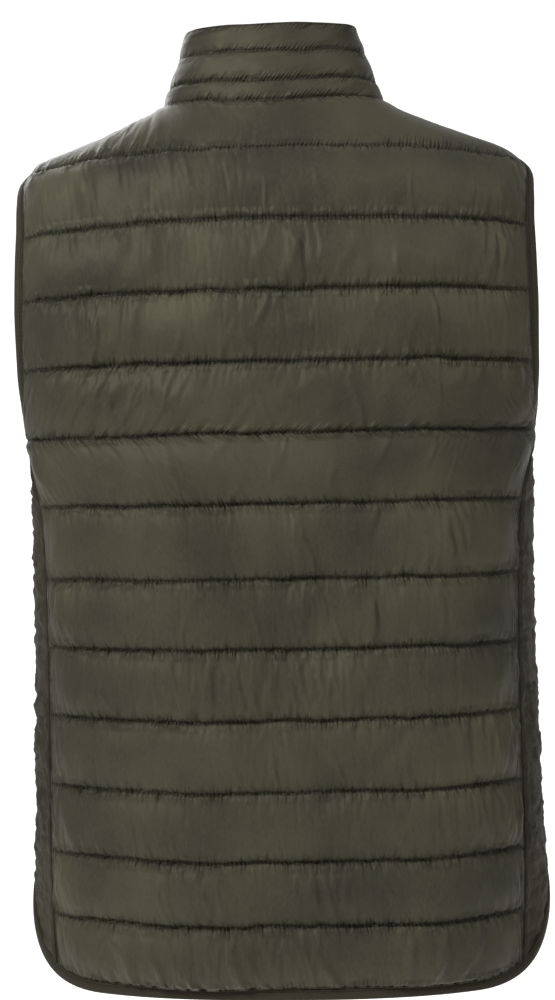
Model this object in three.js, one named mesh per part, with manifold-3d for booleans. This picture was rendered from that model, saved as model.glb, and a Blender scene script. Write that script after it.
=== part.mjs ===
// A quilted puffer vest, filled out as it is worn, with nobody inside. Millimetres, +Z up.
// The front faces -Y and the wearer's left is +X. The origin is the middle of the neck opening,
// level with the two points where the shoulder seams meet the collar.
import * as THREE from "three";
import { mergeVertices } from "three/addons/utils/BufferGeometryUtils.js";
import Module from "manifold-3d";

const wasm = await Module();
wasm.setup();

// Cloth
const SEAM_GAP = 0.4; // between two pieces that are sewn together
const WALL = 3; // shell, filling and lining where they are stitched down
const PUFF = 9; // how far the middle of a channel stands off the stitched lines
const COLLAR_PUFF = 5;
const PUFF_SHAPE = 0.7; // under 1 makes a channel round, 1 would make it a plain wave
const YOKE_PUFF = 0.25; // the filling over the shoulders, as a share of the rest
const COLLAR_EDGE = 0.8; // the collar's top channel is cut off at this share of its wave, so its edge is full
const SIDE_SINK = 0.8; // the side panels have no filling, so between their seams they are thinner

// Quilting: stitched lines run level round the body, a channel of filling between each two
const LINES = [-47.5, -105, -159.5, -213, -266, -319, -375.5, -428.5, -482, -536, -588, -636.5];
const [FIRST_LINE, SECOND_LINE, THIRD_LINE] = LINES;
const LINE_COUNT = LINES.length;
const UNDERARM_LINE = 5; // the armholes end at this line
const STEPS = 4; // faces from one stitched line to the next
const INNER_EVERY = 2; // the plain inside has a row at every second row of the outside
const NECK_ROWS = 4; // front rows from the neckline's lowest point to the first line, and to the second
const FIRST_LINE_DROOP = 8; // the first line hangs this much lower at the armholes than at the spine
const SECOND_LINE_DROOP = 4;

// Neck and collar, as ovals seen from above
const NECK = { halfWidth: 87, back: 56, front: 78 };
const COLLAR_TOP = { halfWidth: 66, back: 39, front: 68 };
const COLLAR_TOP_Z = { back: 57, side: 61, front: 14 };
const COLLAR_LINES = [0, 0.27, 0.66, 1]; // the seam, two stitched lines and the top edge
const TOP_LEVELS = [-36, -24, -12, -0.5]; // front rows from the first line up to the neck point

// Hem: level at the back, a little higher in front, and cut away round at the sides
const HEM_BACK_Z = -693.5;
const HEM_FRONT_Z = -678;
const HEM_TURN = 60; // the hem changes height over this depth on each side of the side seam
const HEM_RISE = 55;
const HEM_RISE_REACH = 78;

// Bindings
const ARMHOLE_BAND = 10;
const HEM_BAND = 9;
const BAND_PROUD = 0.4; // a binding is thicker than the wall it ends by this much on each face
const BAND_ROUND = 1.2;

// Columns of faces, for the left half of each piece
const BACK_COLUMNS = 10;
const FRONT_COLUMNS = 9;
const SIDE_COLUMNS = 6;
const ARC_SAMPLES = 48;

// Front zip
const ZIP_HALF_OPENING = 6.2;
const TAPE_HALF_WIDTH = 14;
const TAPE_BEHIND = 0.6; // a little more than a seam's gap, for the bend where the collar is sewn on
const TAPE_THICKNESS = 1;
const CHAIN_HALF_WIDTH = 2.9;
const CHAIN_THICKNESS = 2.2;
const STOP_ABOVE_HEM = 1;
const STOP_LENGTH = 5;
const STOP_HALF_WIDTH = 3.6;
const STOP_THICKNESS = 2.8;
const SLIDER = { length: 13, topHalfWidth: 5, bottomHalfWidth: 4, crown: 3, thickness: 4.4, belowTop: 14 };
const BAIL = { halfWidth: 1.3, innerHalf: 3.4, outerHalf: 4.6, innerHeight: 2.8, outerHeight: 4, foot: -0.5 };
const PULL = { halfWidth: 4, length: 30, thickness: 1.5, corner: 2 };
const EYE = { top: 0.8, halfWidth: 2.1, bottom: 6.5 }; // the hole that the bail runs through
const PULL_OVER_FACE = 1.3; // from the slider's face to the middle of the pull's bar

// The form that the cloth hangs on, as level sections: half width, depth behind and in front of the
// shoulder line, and how square the section is (2 is an oval)
const FORM = [
  { z: 6, halfWidth: 74, back: 48, front: 31, square: 2 },
  { z: 0, halfWidth: 87, back: 53, front: 37, square: 2 },
  { z: -12, halfWidth: 107, back: 58, front: 47, square: 2 },
  { z: -24, halfWidth: 135, back: 64, front: 56, square: 2 },
  { z: -36, halfWidth: 165, back: 71, front: 64, square: 2.1 },
  { z: -47, halfWidth: 192, back: 77, front: 71, square: 2.15 },
  { z: -65, halfWidth: 207, back: 85, front: 82, square: 2.25 },
  { z: -106, halfWidth: 217, back: 97, front: 98, square: 2.4 },
  { z: -159, halfWidth: 220.5, back: 105, front: 110, square: 2.5 },
  { z: -212, halfWidth: 214, back: 107, front: 117, square: 2.5 },
  { z: -240, halfWidth: 206.5, back: 107, front: 118, square: 2.5 },
  { z: -266, halfWidth: 202, back: 107, front: 119, square: 2.45 },
  { z: -318, halfWidth: 200.5, back: 105, front: 118, square: 2.4 },
  { z: -424, halfWidth: 200.5, back: 101, front: 114, square: 2.4 },
  { z: -530, halfWidth: 202.5, back: 99, front: 111, square: 2.4 },
  { z: -636, halfWidth: 206, back: 98, front: 110, square: 2.4 },
  { z: -700, halfWidth: 207.5, back: 97, front: 109, square: 2.4 },
];

// How far behind and in front of the shoulder line the armhole is cut
const ARMHOLE = [
  { z: -47, back: 0.2, front: 0.2 },
  { z: -52, back: 14, front: 15 },
  { z: -60, back: 24, front: 26 },
  { z: -76, back: 38, front: 43 },
  { z: -106, back: 52, front: 59 },
  { z: -159, back: 61, front: 70 },
  { z: -212, back: 55, front: 65 },
  { z: -240, back: 42, front: 50 },
  { z: -256, back: 28, front: 33 },
  { z: -266, back: 17, front: 18 },
];

// Where the side panel's two seams run
const SIDE_SEAM = [
  { z: -266, back: 17, front: 18 },
  { z: -280, back: 31, front: 31 },
  { z: -300, back: 43, front: 42 },
  { z: -330, back: 51, front: 50 },
  { z: -424, back: 53, front: 52 },
  { z: -583, back: 54, front: 53 },
  { z: -700, back: 60, front: 58 },
];

const mix = (a, b, t) => a + (b - a) * t;
const last = (list) => list[list.length - 1];
const vector = (x, y, z) => new THREE.Vector3(x, y, z);

// A smooth curve through one column of a table whose rows go down in z.
function smooth(table, column) {
  const slope = (i) => {
    const a = table[Math.max(i - 1, 0)];
    const b = table[Math.min(i + 1, table.length - 1)];
    return (b[column] - a[column]) / (b.z - a.z);
  };
  return (z) => {
    const found = table.findIndex((row, i) => i > 0 && z >= row.z);
    const i = found < 0 ? table.length - 1 : found;
    const [a, b] = [table[i - 1], table[i]];
    const step = b.z - a.z;
    const t = Math.min(Math.max((z - a.z) / step, 0), 1);
    const [t2, t3] = [t * t, t * t * t];
    return (
      (2 * t3 - 3 * t2 + 1) * a[column] +
      (t3 - 2 * t2 + t) * step * slope(i - 1) +
      (3 * t2 - 2 * t3) * b[column] +
      (t3 - t2) * step * slope(i)
    );
  };
}

const halfWidthAt = smooth(FORM, "halfWidth");
const squareAt = smooth(FORM, "square");
const depthAt = { back: smooth(FORM, "back"), front: smooth(FORM, "front") };
const armholeAt = { back: smooth(ARMHOLE, "back"), front: smooth(ARMHOLE, "front") };
const seamAt = { back: smooth(SIDE_SEAM, "back"), front: smooth(SIDE_SEAM, "front") };
const signOf = { back: 1, front: -1 };

const line = (k) => LINES[k - 1];
const ARMHOLE_TOP = ARMHOLE[0].z;
const UNDERARM = line(UNDERARM_LINE);

// 0 on the form, negative inside it.
function outside(x, y, z) {
  const n = squareAt(z);
  const depth = (y > 0 ? depthAt.back : depthAt.front)(z);
  return (Math.abs(x) / halfWidthAt(z)) ** n + (Math.abs(y) / depth) ** n - 1;
}

function normalAt(p) {
  const h = 0.05;
  return vector(
    outside(p.x + h, p.y, p.z) - outside(p.x - h, p.y, p.z),
    outside(p.x, p.y + h, p.z) - outside(p.x, p.y - h, p.z),
    outside(p.x, p.y, p.z + h) - outside(p.x, p.y, p.z - h),
  ).normalize();
}

// The value between two limits where a rising function passes zero.
function solve(rising, low, high) {
  for (let i = 0; i < 40; i++) {
    const middle = (low + high) / 2;
    if (rising(middle) > 0) high = middle;
    else low = middle;
  }
  return (low + high) / 2;
}

// The point of the shoulders above a place on the floor plan.
const onShoulders = (x, y) =>
  vector(x, y, solve((z) => outside(x, y, z), last(FORM).z / 4, FORM[0].z));

// The point of the form's side at a height and a depth.
function onSide(y, z) {
  const n = squareAt(z);
  const depth = (y > 0 ? depthAt.back : depthAt.front)(z);
  return vector(halfWidthAt(z) * (1 - (Math.abs(y) / depth) ** n) ** (1 / n), y, z);
}

// The point a share of the way along a level section, from a depth at the side to a distance from the middle.
function across(z, face, edgeDepth, innerX, share) {
  const n = squareAt(z);
  const [wide, deep] = [halfWidthAt(z), depthAt[face](z)];
  const from = Math.asin((edgeDepth / deep) ** (n / 2));
  const to = Math.acos((innerX / wide) ** (n / 2));
  const points = Array.from({ length: ARC_SAMPLES + 1 }, (_, i) => {
    const turn = mix(from, to, i / ARC_SAMPLES);
    const x = wide * Math.max(Math.cos(turn), 0) ** (2 / n);
    return vector(x, signOf[face] * deep * Math.sin(turn) ** (2 / n), z);
  });
  return along(points, share);
}

// The point a share of the way along a line of points.
function along(points, share) {
  const far = [0];
  for (let i = 1; i < points.length; i++)
    far.push(far[i - 1] + points[i].distanceTo(points[i - 1]));
  const goal = share * last(far);
  const i = Math.max(far.findIndex((d, k) => k > 0 && d >= goal), 1);
  return points[i - 1].clone().lerp(points[i], Math.min((goal - far[i - 1]) / (far[i] - far[i - 1]), 1));
}

// How far from the middle plane a panel's outer edge is, less half of the gap to its neighbour.
function edgeDepth(z, face) {
  if (z > ARMHOLE_TOP) return SEAM_GAP / 2;
  const table = z >= UNDERARM ? armholeAt : seamAt;
  return Math.max(table[face](z), 0) + SEAM_GAP / 2;
}

function hemZ(y) {
  const turn = THREE.MathUtils.smoothstep(y, -HEM_TURN, HEM_TURN);
  const reach = Math.min(Math.abs(y) / HEM_RISE_REACH, 1);
  const rise = HEM_RISE * Math.cos((Math.PI / 2) * reach) ** 2;
  return mix(HEM_FRONT_Z, HEM_BACK_Z, turn) + rise + HEM_BAND + SEAM_GAP;
}

const puffShare = (t) => Math.sin(Math.PI * t) ** PUFF_SHAPE;
const yokeShare = (t) => YOKE_PUFF * puffShare(t);

// Places on the neckline, as seen from above. Turn 0 is the neck point and a quarter turn the middle.
const onOval = (oval, face, turn) => [
  oval.halfWidth * Math.cos(turn),
  signOf[face] * oval[face] * Math.sin(turn),
];
const neckPoint = (face, turn) => onShoulders(...onOval(NECK, face, turn));
const neckZipTurn = Math.acos(ZIP_HALF_OPENING / NECK.halfWidth);
const neckBottom = neckPoint("front", neckZipTurn).z;
const neckTurnAt = (z) =>
  solve((turn) => z - neckPoint("front", turn).z, 0, neckZipTurn);

// Rows of a panel's face, top to bottom: where each is, and how high the filling stands there.
const channelRows = (from, to) =>
  Array.from({ length: STEPS }, (_, i) => ({
    z: mix(from, to, i / STEPS),
    puff: puffShare(i / STEPS),
  }));
const quiltedRows = (firstLine) =>
  Array.from({ length: LINE_COUNT - firstLine }, (_, i) =>
    channelRows(line(firstLine + i), line(firstLine + i + 1)),
  ).flat();
const hemRows = Array.from({ length: STEPS + 1 }, (_, i) => ({
  z: line(LINE_COUNT),
  hem: i / STEPS,
  puff: puffShare(i / STEPS),
}));

// A row's point in one column. The hem's height depends on the point's own depth, so it is closed in on.
function settle(row, place) {
  let point = place(row.z);
  if (row.hem !== undefined)
    for (let i = 0; i < 4; i++) point = place(mix(row.z, hemZ(point.y), row.hem));
  return point;
}

// Grids of points on the form, each with the puff at that point. Columns run from the side to the middle.
function backHalf() {
  const droopAt = (z) => {
    if (z <= SECOND_LINE)
      return (SECOND_LINE_DROOP * Math.max(z - THIRD_LINE, 0)) / (SECOND_LINE - THIRD_LINE);
    return mix(SECOND_LINE_DROOP, FIRST_LINE_DROOP, (z - SECOND_LINE) / (FIRST_LINE - SECOND_LINE));
  };
  const fullRow = (row) =>
    Array.from({ length: BACK_COLUMNS + 1 }, (_, c) => {
      const share = c / BACK_COLUMNS;
      const level = row.z - droopAt(row.z) * (1 - share) ** 2;
      return settle({ ...row, z: level }, (z) => across(z, "back", edgeDepth(z, "back"), 0, share));
    });
  const firstLine = fullRow({ z: FIRST_LINE });
  const tip = vector(halfWidthAt(ARMHOLE_TOP), SEAM_GAP / 2, ARMHOLE_TOP);
  const half = BACK_COLUMNS / 2;
  const topEdge = firstLine.map((_, c) =>
    c <= half
      ? onShoulders(mix(tip.x, NECK.halfWidth, c / half), SEAM_GAP / 2)
      : neckPoint("back", ((c - half) / half) * (Math.PI / 2)),
  );
  const yoke = Array.from({ length: STEPS }, (_, i) =>
    topEdge.map((top, c) => {
      const plan = top.clone().lerp(firstLine[c], i / STEPS);
      return onShoulders(plan.x, plan.y);
    }),
  );
  const rows = [...quiltedRows(1), ...hemRows];
  return {
    points: [...yoke, ...rows.map(fullRow)],
    puffs: [...Array.from({ length: STEPS }, (_, i) => yokeShare(i / STEPS)), ...rows.map((r) => r.puff)],
  };
}

function frontHalf() {
  const top = TOP_LEVELS.length;
  const topRows = TOP_LEVELS.map((z, i) => ({ z, puff: yokeShare((i + 1) / top) })).reverse();
  const neckRows = Array.from({ length: 2 * NECK_ROWS }, (_, i) => {
    const high = i < NECK_ROWS;
    const z = high
      ? mix(FIRST_LINE, neckBottom, i / NECK_ROWS)
      : mix(neckBottom, SECOND_LINE, i / NECK_ROWS - 1);
    return { z, puff: puffShare((FIRST_LINE - z) / (FIRST_LINE - SECOND_LINE)) };
  });
  const rows = [...topRows, ...neckRows, ...quiltedRows(2), ...hemRows];
  const innerX = (z) =>
    z <= neckBottom ? ZIP_HALF_OPENING : NECK.halfWidth * Math.cos(neckTurnAt(z));
  const points = rows.map((row) =>
    Array.from({ length: FRONT_COLUMNS + 1 }, (_, c) => {
      const share = c / FRONT_COLUMNS;
      return settle(row, (z) => across(z, "front", edgeDepth(z, "front"), innerX(z), share));
    }),
  );
  return { points, puffs: rows.map((r) => r.puff), neckLevels: [...topRows, ...neckRows] };
}

const underarmRow = (half) => half.points.length - (LINE_COUNT - UNDERARM_LINE + 1) * STEPS - 1;

// The side panel, with its rows' ends at the same heights as the rows of the panels beside it.
function sidePanel(back, front) {
  const ends = [back, front].map((half) => half.points.slice(underarmRow(half)).map((row) => row[0]));
  const seam = ends.map((points) => points.map((p) => (p.z - UNDERARM) / (last(points).z - UNDERARM)));
  const points = ends[0].map((_, r) =>
    Array.from({ length: SIDE_COLUMNS + 1 }, (_, c) => {
      const share = c / SIDE_COLUMNS;
      const place = (z) =>
        onSide(mix(edgeDepth(z, "back") - SEAM_GAP, SEAM_GAP - edgeDepth(z, "front"), share), z);
      return settle({ z: UNDERARM, hem: mix(seam[0][r], seam[1][r], share) }, place);
    }),
  );
  return { points, puffs: points.map(() => 1) };
}

// Left half of the neckline, from the zip edge round to the middle of the back, with the neck stations
// of the front rows and of the back's top edge, so that the collar and the panels meet point to point.
function neckStations(front, back) {
  const levels = front.neckLevels.map((r) => r.z).filter((z) => z >= neckBottom);
  const inFront = [...levels].reverse().map((z) => neckPoint("front", neckTurnAt(z)));
  return [...inFront, ...back.points[0].slice(BACK_COLUMNS / 2)];
}

// The collar's top edge, at the same shares of its length as the stations are of the neckline's.
function collarTop(stations) {
  const zipTurn = Math.acos(ZIP_HALF_OPENING / COLLAR_TOP.halfWidth);
  const edge = Array.from({ length: ARC_SAMPLES + 1 }, (_, i) => {
    const turn = mix(-zipTurn, Math.PI / 2, i / ARC_SAMPLES);
    const [x, y] = onOval(COLLAR_TOP, turn < 0 ? "front" : "back", Math.abs(turn));
    const end = turn < 0 ? COLLAR_TOP_Z.front : COLLAR_TOP_Z.back;
    return vector(x, y, mix(COLLAR_TOP_Z.side, end, Math.sin(turn) ** 2));
  });
  const far = [0];
  for (let i = 1; i < stations.length; i++)
    far.push(far[i - 1] + stations[i].distanceTo(stations[i - 1]));
  return far.map((d) => along(edge, d / last(far)));
}

function collarHalf(stations) {
  const top = collarTop(stations);
  const waves = [1, 1, COLLAR_EDGE];
  const shares = COLLAR_LINES.slice(1).flatMap((end, k) =>
    Array.from({ length: STEPS }, (_, i) => ({
      up: mix(COLLAR_LINES[k], end, i / STEPS),
      puff: puffShare((waves[k] * i) / STEPS),
    })),
  );
  shares.push({ up: 1, puff: puffShare(COLLAR_EDGE) });
  const points = shares.map(({ up }) =>
    stations.map((base, s) => {
      const rise = top[s].clone().sub(base);
      const lifted = Math.max(up, SEAM_GAP / rise.length());
      const p = base.clone().addScaledVector(rise, lifted);
      if (s === 0) p.x = ZIP_HALF_OPENING;
      return p;
    }),
  );
  return { points, puffs: shares.map((s) => s.puff) };
}

// Normals of the collar's grid, which isn't on the form, from its neighbours.
function gridNormals(points) {
  return points.map((row, r) =>
    row.map((_, c) => {
      const up = points[Math.min(r + 1, points.length - 1)][c].clone().sub(points[Math.max(r - 1, 0)][c]);
      const side = row[Math.min(c + 1, row.length - 1)].clone().sub(row[Math.max(c - 1, 0)]);
      return side.cross(up).normalize();
    }),
  );
}

const mirrored = (p) => vector(-p.x, p.y, p.z);

// Both halves of a grid whose last column is the middle.
function wholeOf(half) {
  const points = half.points.map((row) => [...row, ...row.slice(0, -1).reverse().map(mirrored)]);
  return { points, puffs: half.puffs };
}

// A grid's skipped rows leave corners that no face uses, which this takes out.
function used(corners, faces) {
  const kept = [...new Set(faces.flat())];
  const place = new Map(kept.map((corner, i) => [corner, i]));
  faces.forEach((face) => face.forEach((corner, k) => (face[k] = place.get(corner))));
  return kept.map((corner) => corners[corner]);
}

function geometryOf(corners, faces) {
  const positions = new Float32Array(corners.flatMap((p) => [p.x, p.y, p.z]));
  return new THREE.BufferGeometry()
    .setAttribute("position", new THREE.BufferAttribute(positions, 3))
    .setIndex(faces.flat());
}

// A closed wall: the outer face raised by the filling, the plain inner face on the form. The filling
// thins out to nothing at the first and last column, where the piece is seamed. The inside has fewer
// rows than the outside, except along those two seams.
function wallOf({ points, puffs, normals }, puff) {
  const outward = normals ?? points.map((row) => row.map(normalAt));
  const [rows, columns] = [points.length, points[0].length];
  const end = columns - 1;
  const outer = points.map((row, r) =>
    row.map((p, c) => {
      const filled = c > 0 && c < end ? puffs[r] : 0;
      return p.clone().addScaledVector(outward[r][c], WALL + puff * filled);
    }),
  );
  const corners = [...outer.flat(), ...points.flat()];
  const out = (r, c) => r * columns + c;
  const within = (r, c) => (rows + r) * columns + c;
  const faces = [];
  const quad = (a, b, c, d) => faces.push([a, b, c], [a, c, d]);
  for (let r = 0; r < rows - 1; r++) {
    for (let c = 0; c < end; c++)
      quad(out(r, c), out(r + 1, c), out(r + 1, c + 1), out(r, c + 1));
    quad(within(r, 0), within(r + 1, 0), out(r + 1, 0), out(r, 0));
    quad(out(r, end), out(r + 1, end), within(r + 1, end), within(r, end));
  }
  for (let r = 0; r < rows - 1; r += INNER_EVERY) {
    for (let c = 1; c < end - 1; c++)
      quad(within(r, c), within(r, c + 1), within(r + INNER_EVERY, c + 1), within(r + INNER_EVERY, c));
    for (let i = r; i < r + INNER_EVERY; i++) {
      faces.push([within(i, 0), within(r, 1), within(i + 1, 0)]);
      faces.push([within(i, end), within(i + 1, end), within(r + INNER_EVERY, end - 1)]);
    }
    faces.push([within(r, 1), within(r + INNER_EVERY, 1), within(r + INNER_EVERY, 0)]);
    faces.push([within(r, end), within(r + INNER_EVERY, end - 1), within(r, end - 1)]);
  }
  for (let c = 0; c < end; c++) {
    quad(within(0, c), out(0, c), out(0, c + 1), within(0, c + 1));
    quad(within(rows - 1, c), within(rows - 1, c + 1), out(rows - 1, c + 1), out(rows - 1, c));
  }
  return facingOut(geometryOf(used(corners, faces), faces));
}

// A section drawn out along a path. Each station has a point, a direction out and a normal.
function loft(stations, section, closed) {
  const corners = stations.flatMap(({ point, out, normal }) =>
    section.map(([a, b]) => point.clone().addScaledVector(out, a).addScaledVector(normal, b)),
  );
  const n = section.length;
  const faces = [];
  const rings = closed ? stations.length : stations.length - 1;
  for (let s = 0; s < rings; s++) {
    const next = (s + 1) % stations.length;
    for (let k = 0; k < n; k++) {
      const l = (k + 1) % n;
      faces.push([s * n + k, next * n + k, next * n + l], [s * n + k, next * n + l, s * n + l]);
    }
  }
  if (!closed)
    for (let k = 1; k < n - 1; k++) {
      const end = (stations.length - 1) * n;
      faces.push([0, k, k + 1], [end, end + k + 1, end + k]);
    }
  return facingOut(geometryOf(corners, faces));
}

// Turns a closed mesh's faces round if they point inwards.
function facingOut(geometry) {
  const { array } = geometry.getAttribute("position");
  const index = geometry.getIndex();
  const at = (i) => vector(array[3 * i], array[3 * i + 1], array[3 * i + 2]);
  let volume = 0;
  for (let i = 0; i < index.count; i += 3) {
    const [a, b, c] = [0, 1, 2].map((k) => at(index.getX(i + k)));
    volume += a.dot(b.cross(c));
  }
  if (volume < 0)
    for (let i = 0; i < index.count; i += 3) {
      const second = index.getX(i + 1);
      index.setX(i + 1, index.getX(i + 2));
      index.setX(i + 2, second);
    }
  return geometry;
}

const mirrorOf = (geometry) => facingOut(geometry.clone().scale(-1, 1, 1));

// A folded tape round an edge of the walls, from the edge outwards.
const bandSection = (width) => [
  [SEAM_GAP, -BAND_PROUD],
  [width - BAND_ROUND, -BAND_PROUD],
  [width, WALL / 2],
  [width - BAND_ROUND, WALL + BAND_PROUD],
  [SEAM_GAP, WALL + BAND_PROUD],
];

// Stations along an edge: out is square to the edge, in the cloth's own plane.
function edgeStations(edge, closed, towards) {
  const n = edge.length;
  return edge.map((point, i) => {
    const before = closed ? edge[(i + n - 1) % n] : edge[Math.max(i - 1, 0)];
    const after = closed ? edge[(i + 1) % n] : edge[Math.min(i + 1, n - 1)];
    const normal = normalAt(point);
    const out = after.clone().sub(before).cross(normal).normalize();
    if (out.dot(towards(point)) < 0) out.negate();
    return { point, out, normal };
  });
}

function armholeBinding(back, front, side) {
  const backEdge = back.points.slice(0, underarmRow(back) + 1).map((row) => row[0]);
  const frontFrom = front.neckLevels.findIndex((row) => row.z <= FIRST_LINE);
  const frontEdge = front.points.slice(frontFrom, underarmRow(front)).map((row) => row[0]);
  const under = side.points[0].slice(1);
  const edge = [...backEdge, ...under, ...frontEdge.reverse()];
  const middle = vector(edge[0].x, 0, (ARMHOLE_TOP + UNDERARM) / 2);
  return loft(edgeStations(edge, true, (p) => middle.clone().sub(p)), bandSection(ARMHOLE_BAND), true);
}

function hemBinding(back, front, side) {
  const left = [...last(side.points)].reverse().slice(1, -1);
  const halfEdge = [...last(front.points)].reverse().concat(left, last(back.points));
  const edge = [...halfEdge, ...halfEdge.slice(0, -1).reverse().map(mirrored)];
  return loft(edgeStations(edge, false, () => vector(0, 0, -1)), bandSection(HEM_BAND), false);
}

// The inside of the left walls beside the zip, from the hem up to the collar's top: the points of their
// edge and of the tape's outer side.
function zipSide(front, collar) {
  const shown = (row, r) => r % INNER_EVERY === 0;
  const body = front.points.filter((row, r) => shown(row, r) && last(row).z <= neckBottom + 0.01);
  const neck = collar.points.filter((row, r) => shown(row, r) && r > 0);
  const pairs = [...body.reverse().map((row) => [last(row), row[row.length - 2]]), ...neck];
  return pairs.map(([edge, beside]) => [
    edge,
    edge.clone().lerp(beside, (TAPE_HALF_WIDTH - edge.x) / (beside.x - edge.x)),
  ]);
}

// A tape of even thickness behind the walls, with a kink at their edge.
function zipTape(sides) {
  const points = sides.map(([edge, outer]) => [vector(SEAM_GAP / 2, edge.y, edge.z), edge, outer]);
  const normals = gridNormals(points);
  const [near, far] = [TAPE_BEHIND, TAPE_BEHIND + TAPE_THICKNESS];
  const shift = (by) =>
    points.flatMap((row, r) => row.map((p, c) => p.clone().addScaledVector(normals[r][c], -by)));
  const faces = [];
  const quad = (a, b, c, d) => faces.push([a, b, c], [a, c, d]);
  const [columns, count] = [3, 3 * points.length];
  for (let r = 0; r < points.length - 1; r++) {
    const at = r * columns;
    const up = at + columns;
    for (let c = 0; c < columns - 1; c++) {
      quad(at + c, at + c + 1, up + c + 1, up + c);
      quad(count + at + c, count + up + c, count + up + c + 1, count + at + c + 1);
    }
    quad(at, up, count + up, count + at);
    quad(at + 2, count + at + 2, count + up + 2, up + 2);
  }
  for (const [at, turn] of [[0, false], [count - columns, true]])
    for (let c = at; c < at + columns - 1; c++)
      if (turn) quad(c, c + 1, count + c + 1, count + c);
      else quad(c, count + c, count + c + 1, c + 1);
  return facingOut(geometryOf([...shift(near), ...shift(far)], faces));
}

function zipStations(path) {
  return path.map((point, i) => {
    const up = path[Math.min(i + 1, path.length - 1)].clone().sub(path[Math.max(i - 1, 0)]);
    const normal = vector(0, -up.z, up.y).normalize();
    return { point, out: vector(1, 0, 0), normal };
  });
}

// The part of a path between two distances from its start.
function pathBetween(path, from, to) {
  const far = [0];
  for (let i = 1; i < path.length; i++) far.push(far[i - 1] + path[i].distanceTo(path[i - 1]));
  const inside = path.filter((_, i) => far[i] > from + 1 && far[i] < to - 1);
  return [along(path, from / last(far)), ...inside, along(path, to / last(far))];
}

const rectangle = (left, right, bottom, top) => [
  [left, bottom],
  [right, bottom],
  [right, top],
  [left, top],
];

function shapeOf(points) {
  return new THREE.Shape(points.map(([x, y]) => new THREE.Vector2(x, y)));
}

function solidOf(geometry) {
  const bare = geometry.clone().deleteAttribute("normal").deleteAttribute("uv");
  const merged = mergeVertices(bare, 1e-3);
  const vertProperties = merged.getAttribute("position").array;
  const triVerts = new Uint32Array(merged.getIndex().array);
  return new wasm.Manifold(new wasm.Mesh({ numProp: 3, vertProperties, triVerts }));
}

function fromSolid(solid) {
  const { vertProperties, triVerts } = solid.getMesh();
  return new THREE.BufferGeometry()
    .setAttribute("position", new THREE.BufferAttribute(new Float32Array(vertProperties), 3))
    .setIndex(new THREE.BufferAttribute(new Uint32Array(triVerts), 1));
}

// The slider in its own frame: X across, Y up the zip, Z out of the chest, with the tapes at Z 0.
function sliderGeometry() {
  const half = SLIDER.length / 2;
  const body = new THREE.ExtrudeGeometry(
    shapeOf([
      [-SLIDER.bottomHalfWidth, -half],
      [SLIDER.bottomHalfWidth, -half],
      [SLIDER.topHalfWidth, half - SLIDER.crown],
      [SLIDER.bottomHalfWidth, half],
      [-SLIDER.bottomHalfWidth, half],
      [-SLIDER.topHalfWidth, half - SLIDER.crown],
    ]),
    { depth: SLIDER.thickness, bevelEnabled: false },
  );
  const arch = new THREE.ExtrudeGeometry(
    shapeOf([
      [-BAIL.outerHalf, BAIL.foot],
      [-BAIL.innerHalf, BAIL.foot],
      [-BAIL.innerHalf, BAIL.innerHeight],
      [BAIL.innerHalf, BAIL.innerHeight],
      [BAIL.innerHalf, BAIL.foot],
      [BAIL.outerHalf, BAIL.foot],
      [BAIL.outerHalf, BAIL.innerHeight],
      [BAIL.innerHalf, BAIL.outerHeight],
      [-BAIL.innerHalf, BAIL.outerHeight],
      [-BAIL.outerHalf, BAIL.innerHeight],
    ]),
    { depth: 2 * BAIL.halfWidth, bevelEnabled: false },
  );
  arch.rotateX(Math.PI / 2);
  arch.rotateZ(Math.PI / 2);
  arch.translate(-BAIL.halfWidth, 0, SLIDER.thickness);
  return fromSolid(solidOf(body).add(solidOf(arch)));
}

// The pull tab hangs down from its bar, which is at the origin of the slider's frame moved to the bail.
function pullGeometry() {
  const shape = shapeOf([
    [-PULL.halfWidth, EYE.top],
    [-PULL.halfWidth, -PULL.length + PULL.corner],
    [-PULL.halfWidth + PULL.corner, -PULL.length],
    [PULL.halfWidth - PULL.corner, -PULL.length],
    [PULL.halfWidth, -PULL.length + PULL.corner],
    [PULL.halfWidth, EYE.top],
  ]);
  const eye = rectangle(-EYE.halfWidth, EYE.halfWidth, -EYE.bottom, -EYE.top);
  shape.holes.push(new THREE.Path(eye.map(([x, y]) => new THREE.Vector2(x, y))));
  const tab = new THREE.ExtrudeGeometry(shape, { depth: PULL.thickness, bevelEnabled: false });
  return tab.translate(0, 0, SLIDER.thickness + PULL_OVER_FACE - PULL.thickness / 2);
}

const cloth = (color) => new THREE.MeshStandardMaterial({ color, roughness: 0.55, metalness: 0 });
const SHELL = cloth(0x47453a);
const SIDE = cloth(0x403e34);
const TAPE = cloth(0x2f2e27);
const METAL = new THREE.MeshStandardMaterial({ color: 0x3a3a36, roughness: 0.4, metalness: 0.9 });
const PLASTIC = new THREE.MeshStandardMaterial({ color: 0x2b2a25, roughness: 0.5, metalness: 0 });

const vest = new THREE.Group();
function add(name, geometry, material, parent = vest) {
  const mesh = new THREE.Mesh(geometry, material);
  mesh.name = name;
  parent.add(mesh);
}
function addPair(name, geometry, material) {
  add(name + "_left", geometry, material);
  add(name + "_right", mirrorOf(geometry), material);
}

const back = backHalf();
const front = frontHalf();
const side = sidePanel(back, front);
const collar = collarHalf(neckStations(front, back));

add("back", wallOf(wholeOf(back), PUFF), SHELL);
addPair("front", wallOf(front, PUFF), SHELL);
addPair("side", wallOf(side, -SIDE_SINK), SIDE);

// At its foot the collar's wall is cut parallel to the walls that it is sewn to.
const wholeCollar = wholeOf(collar);
wholeCollar.normals = gridNormals(wholeCollar.points);
wholeCollar.normals[0] = wholeCollar.points[0].map((p) => normalAt(p));
add("collar", wallOf(wholeCollar, COLLAR_PUFF), SHELL);

addPair("armhole_binding", armholeBinding(back, front, side), SIDE);
add("hem_binding", hemBinding(back, front, side), SIDE);

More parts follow.
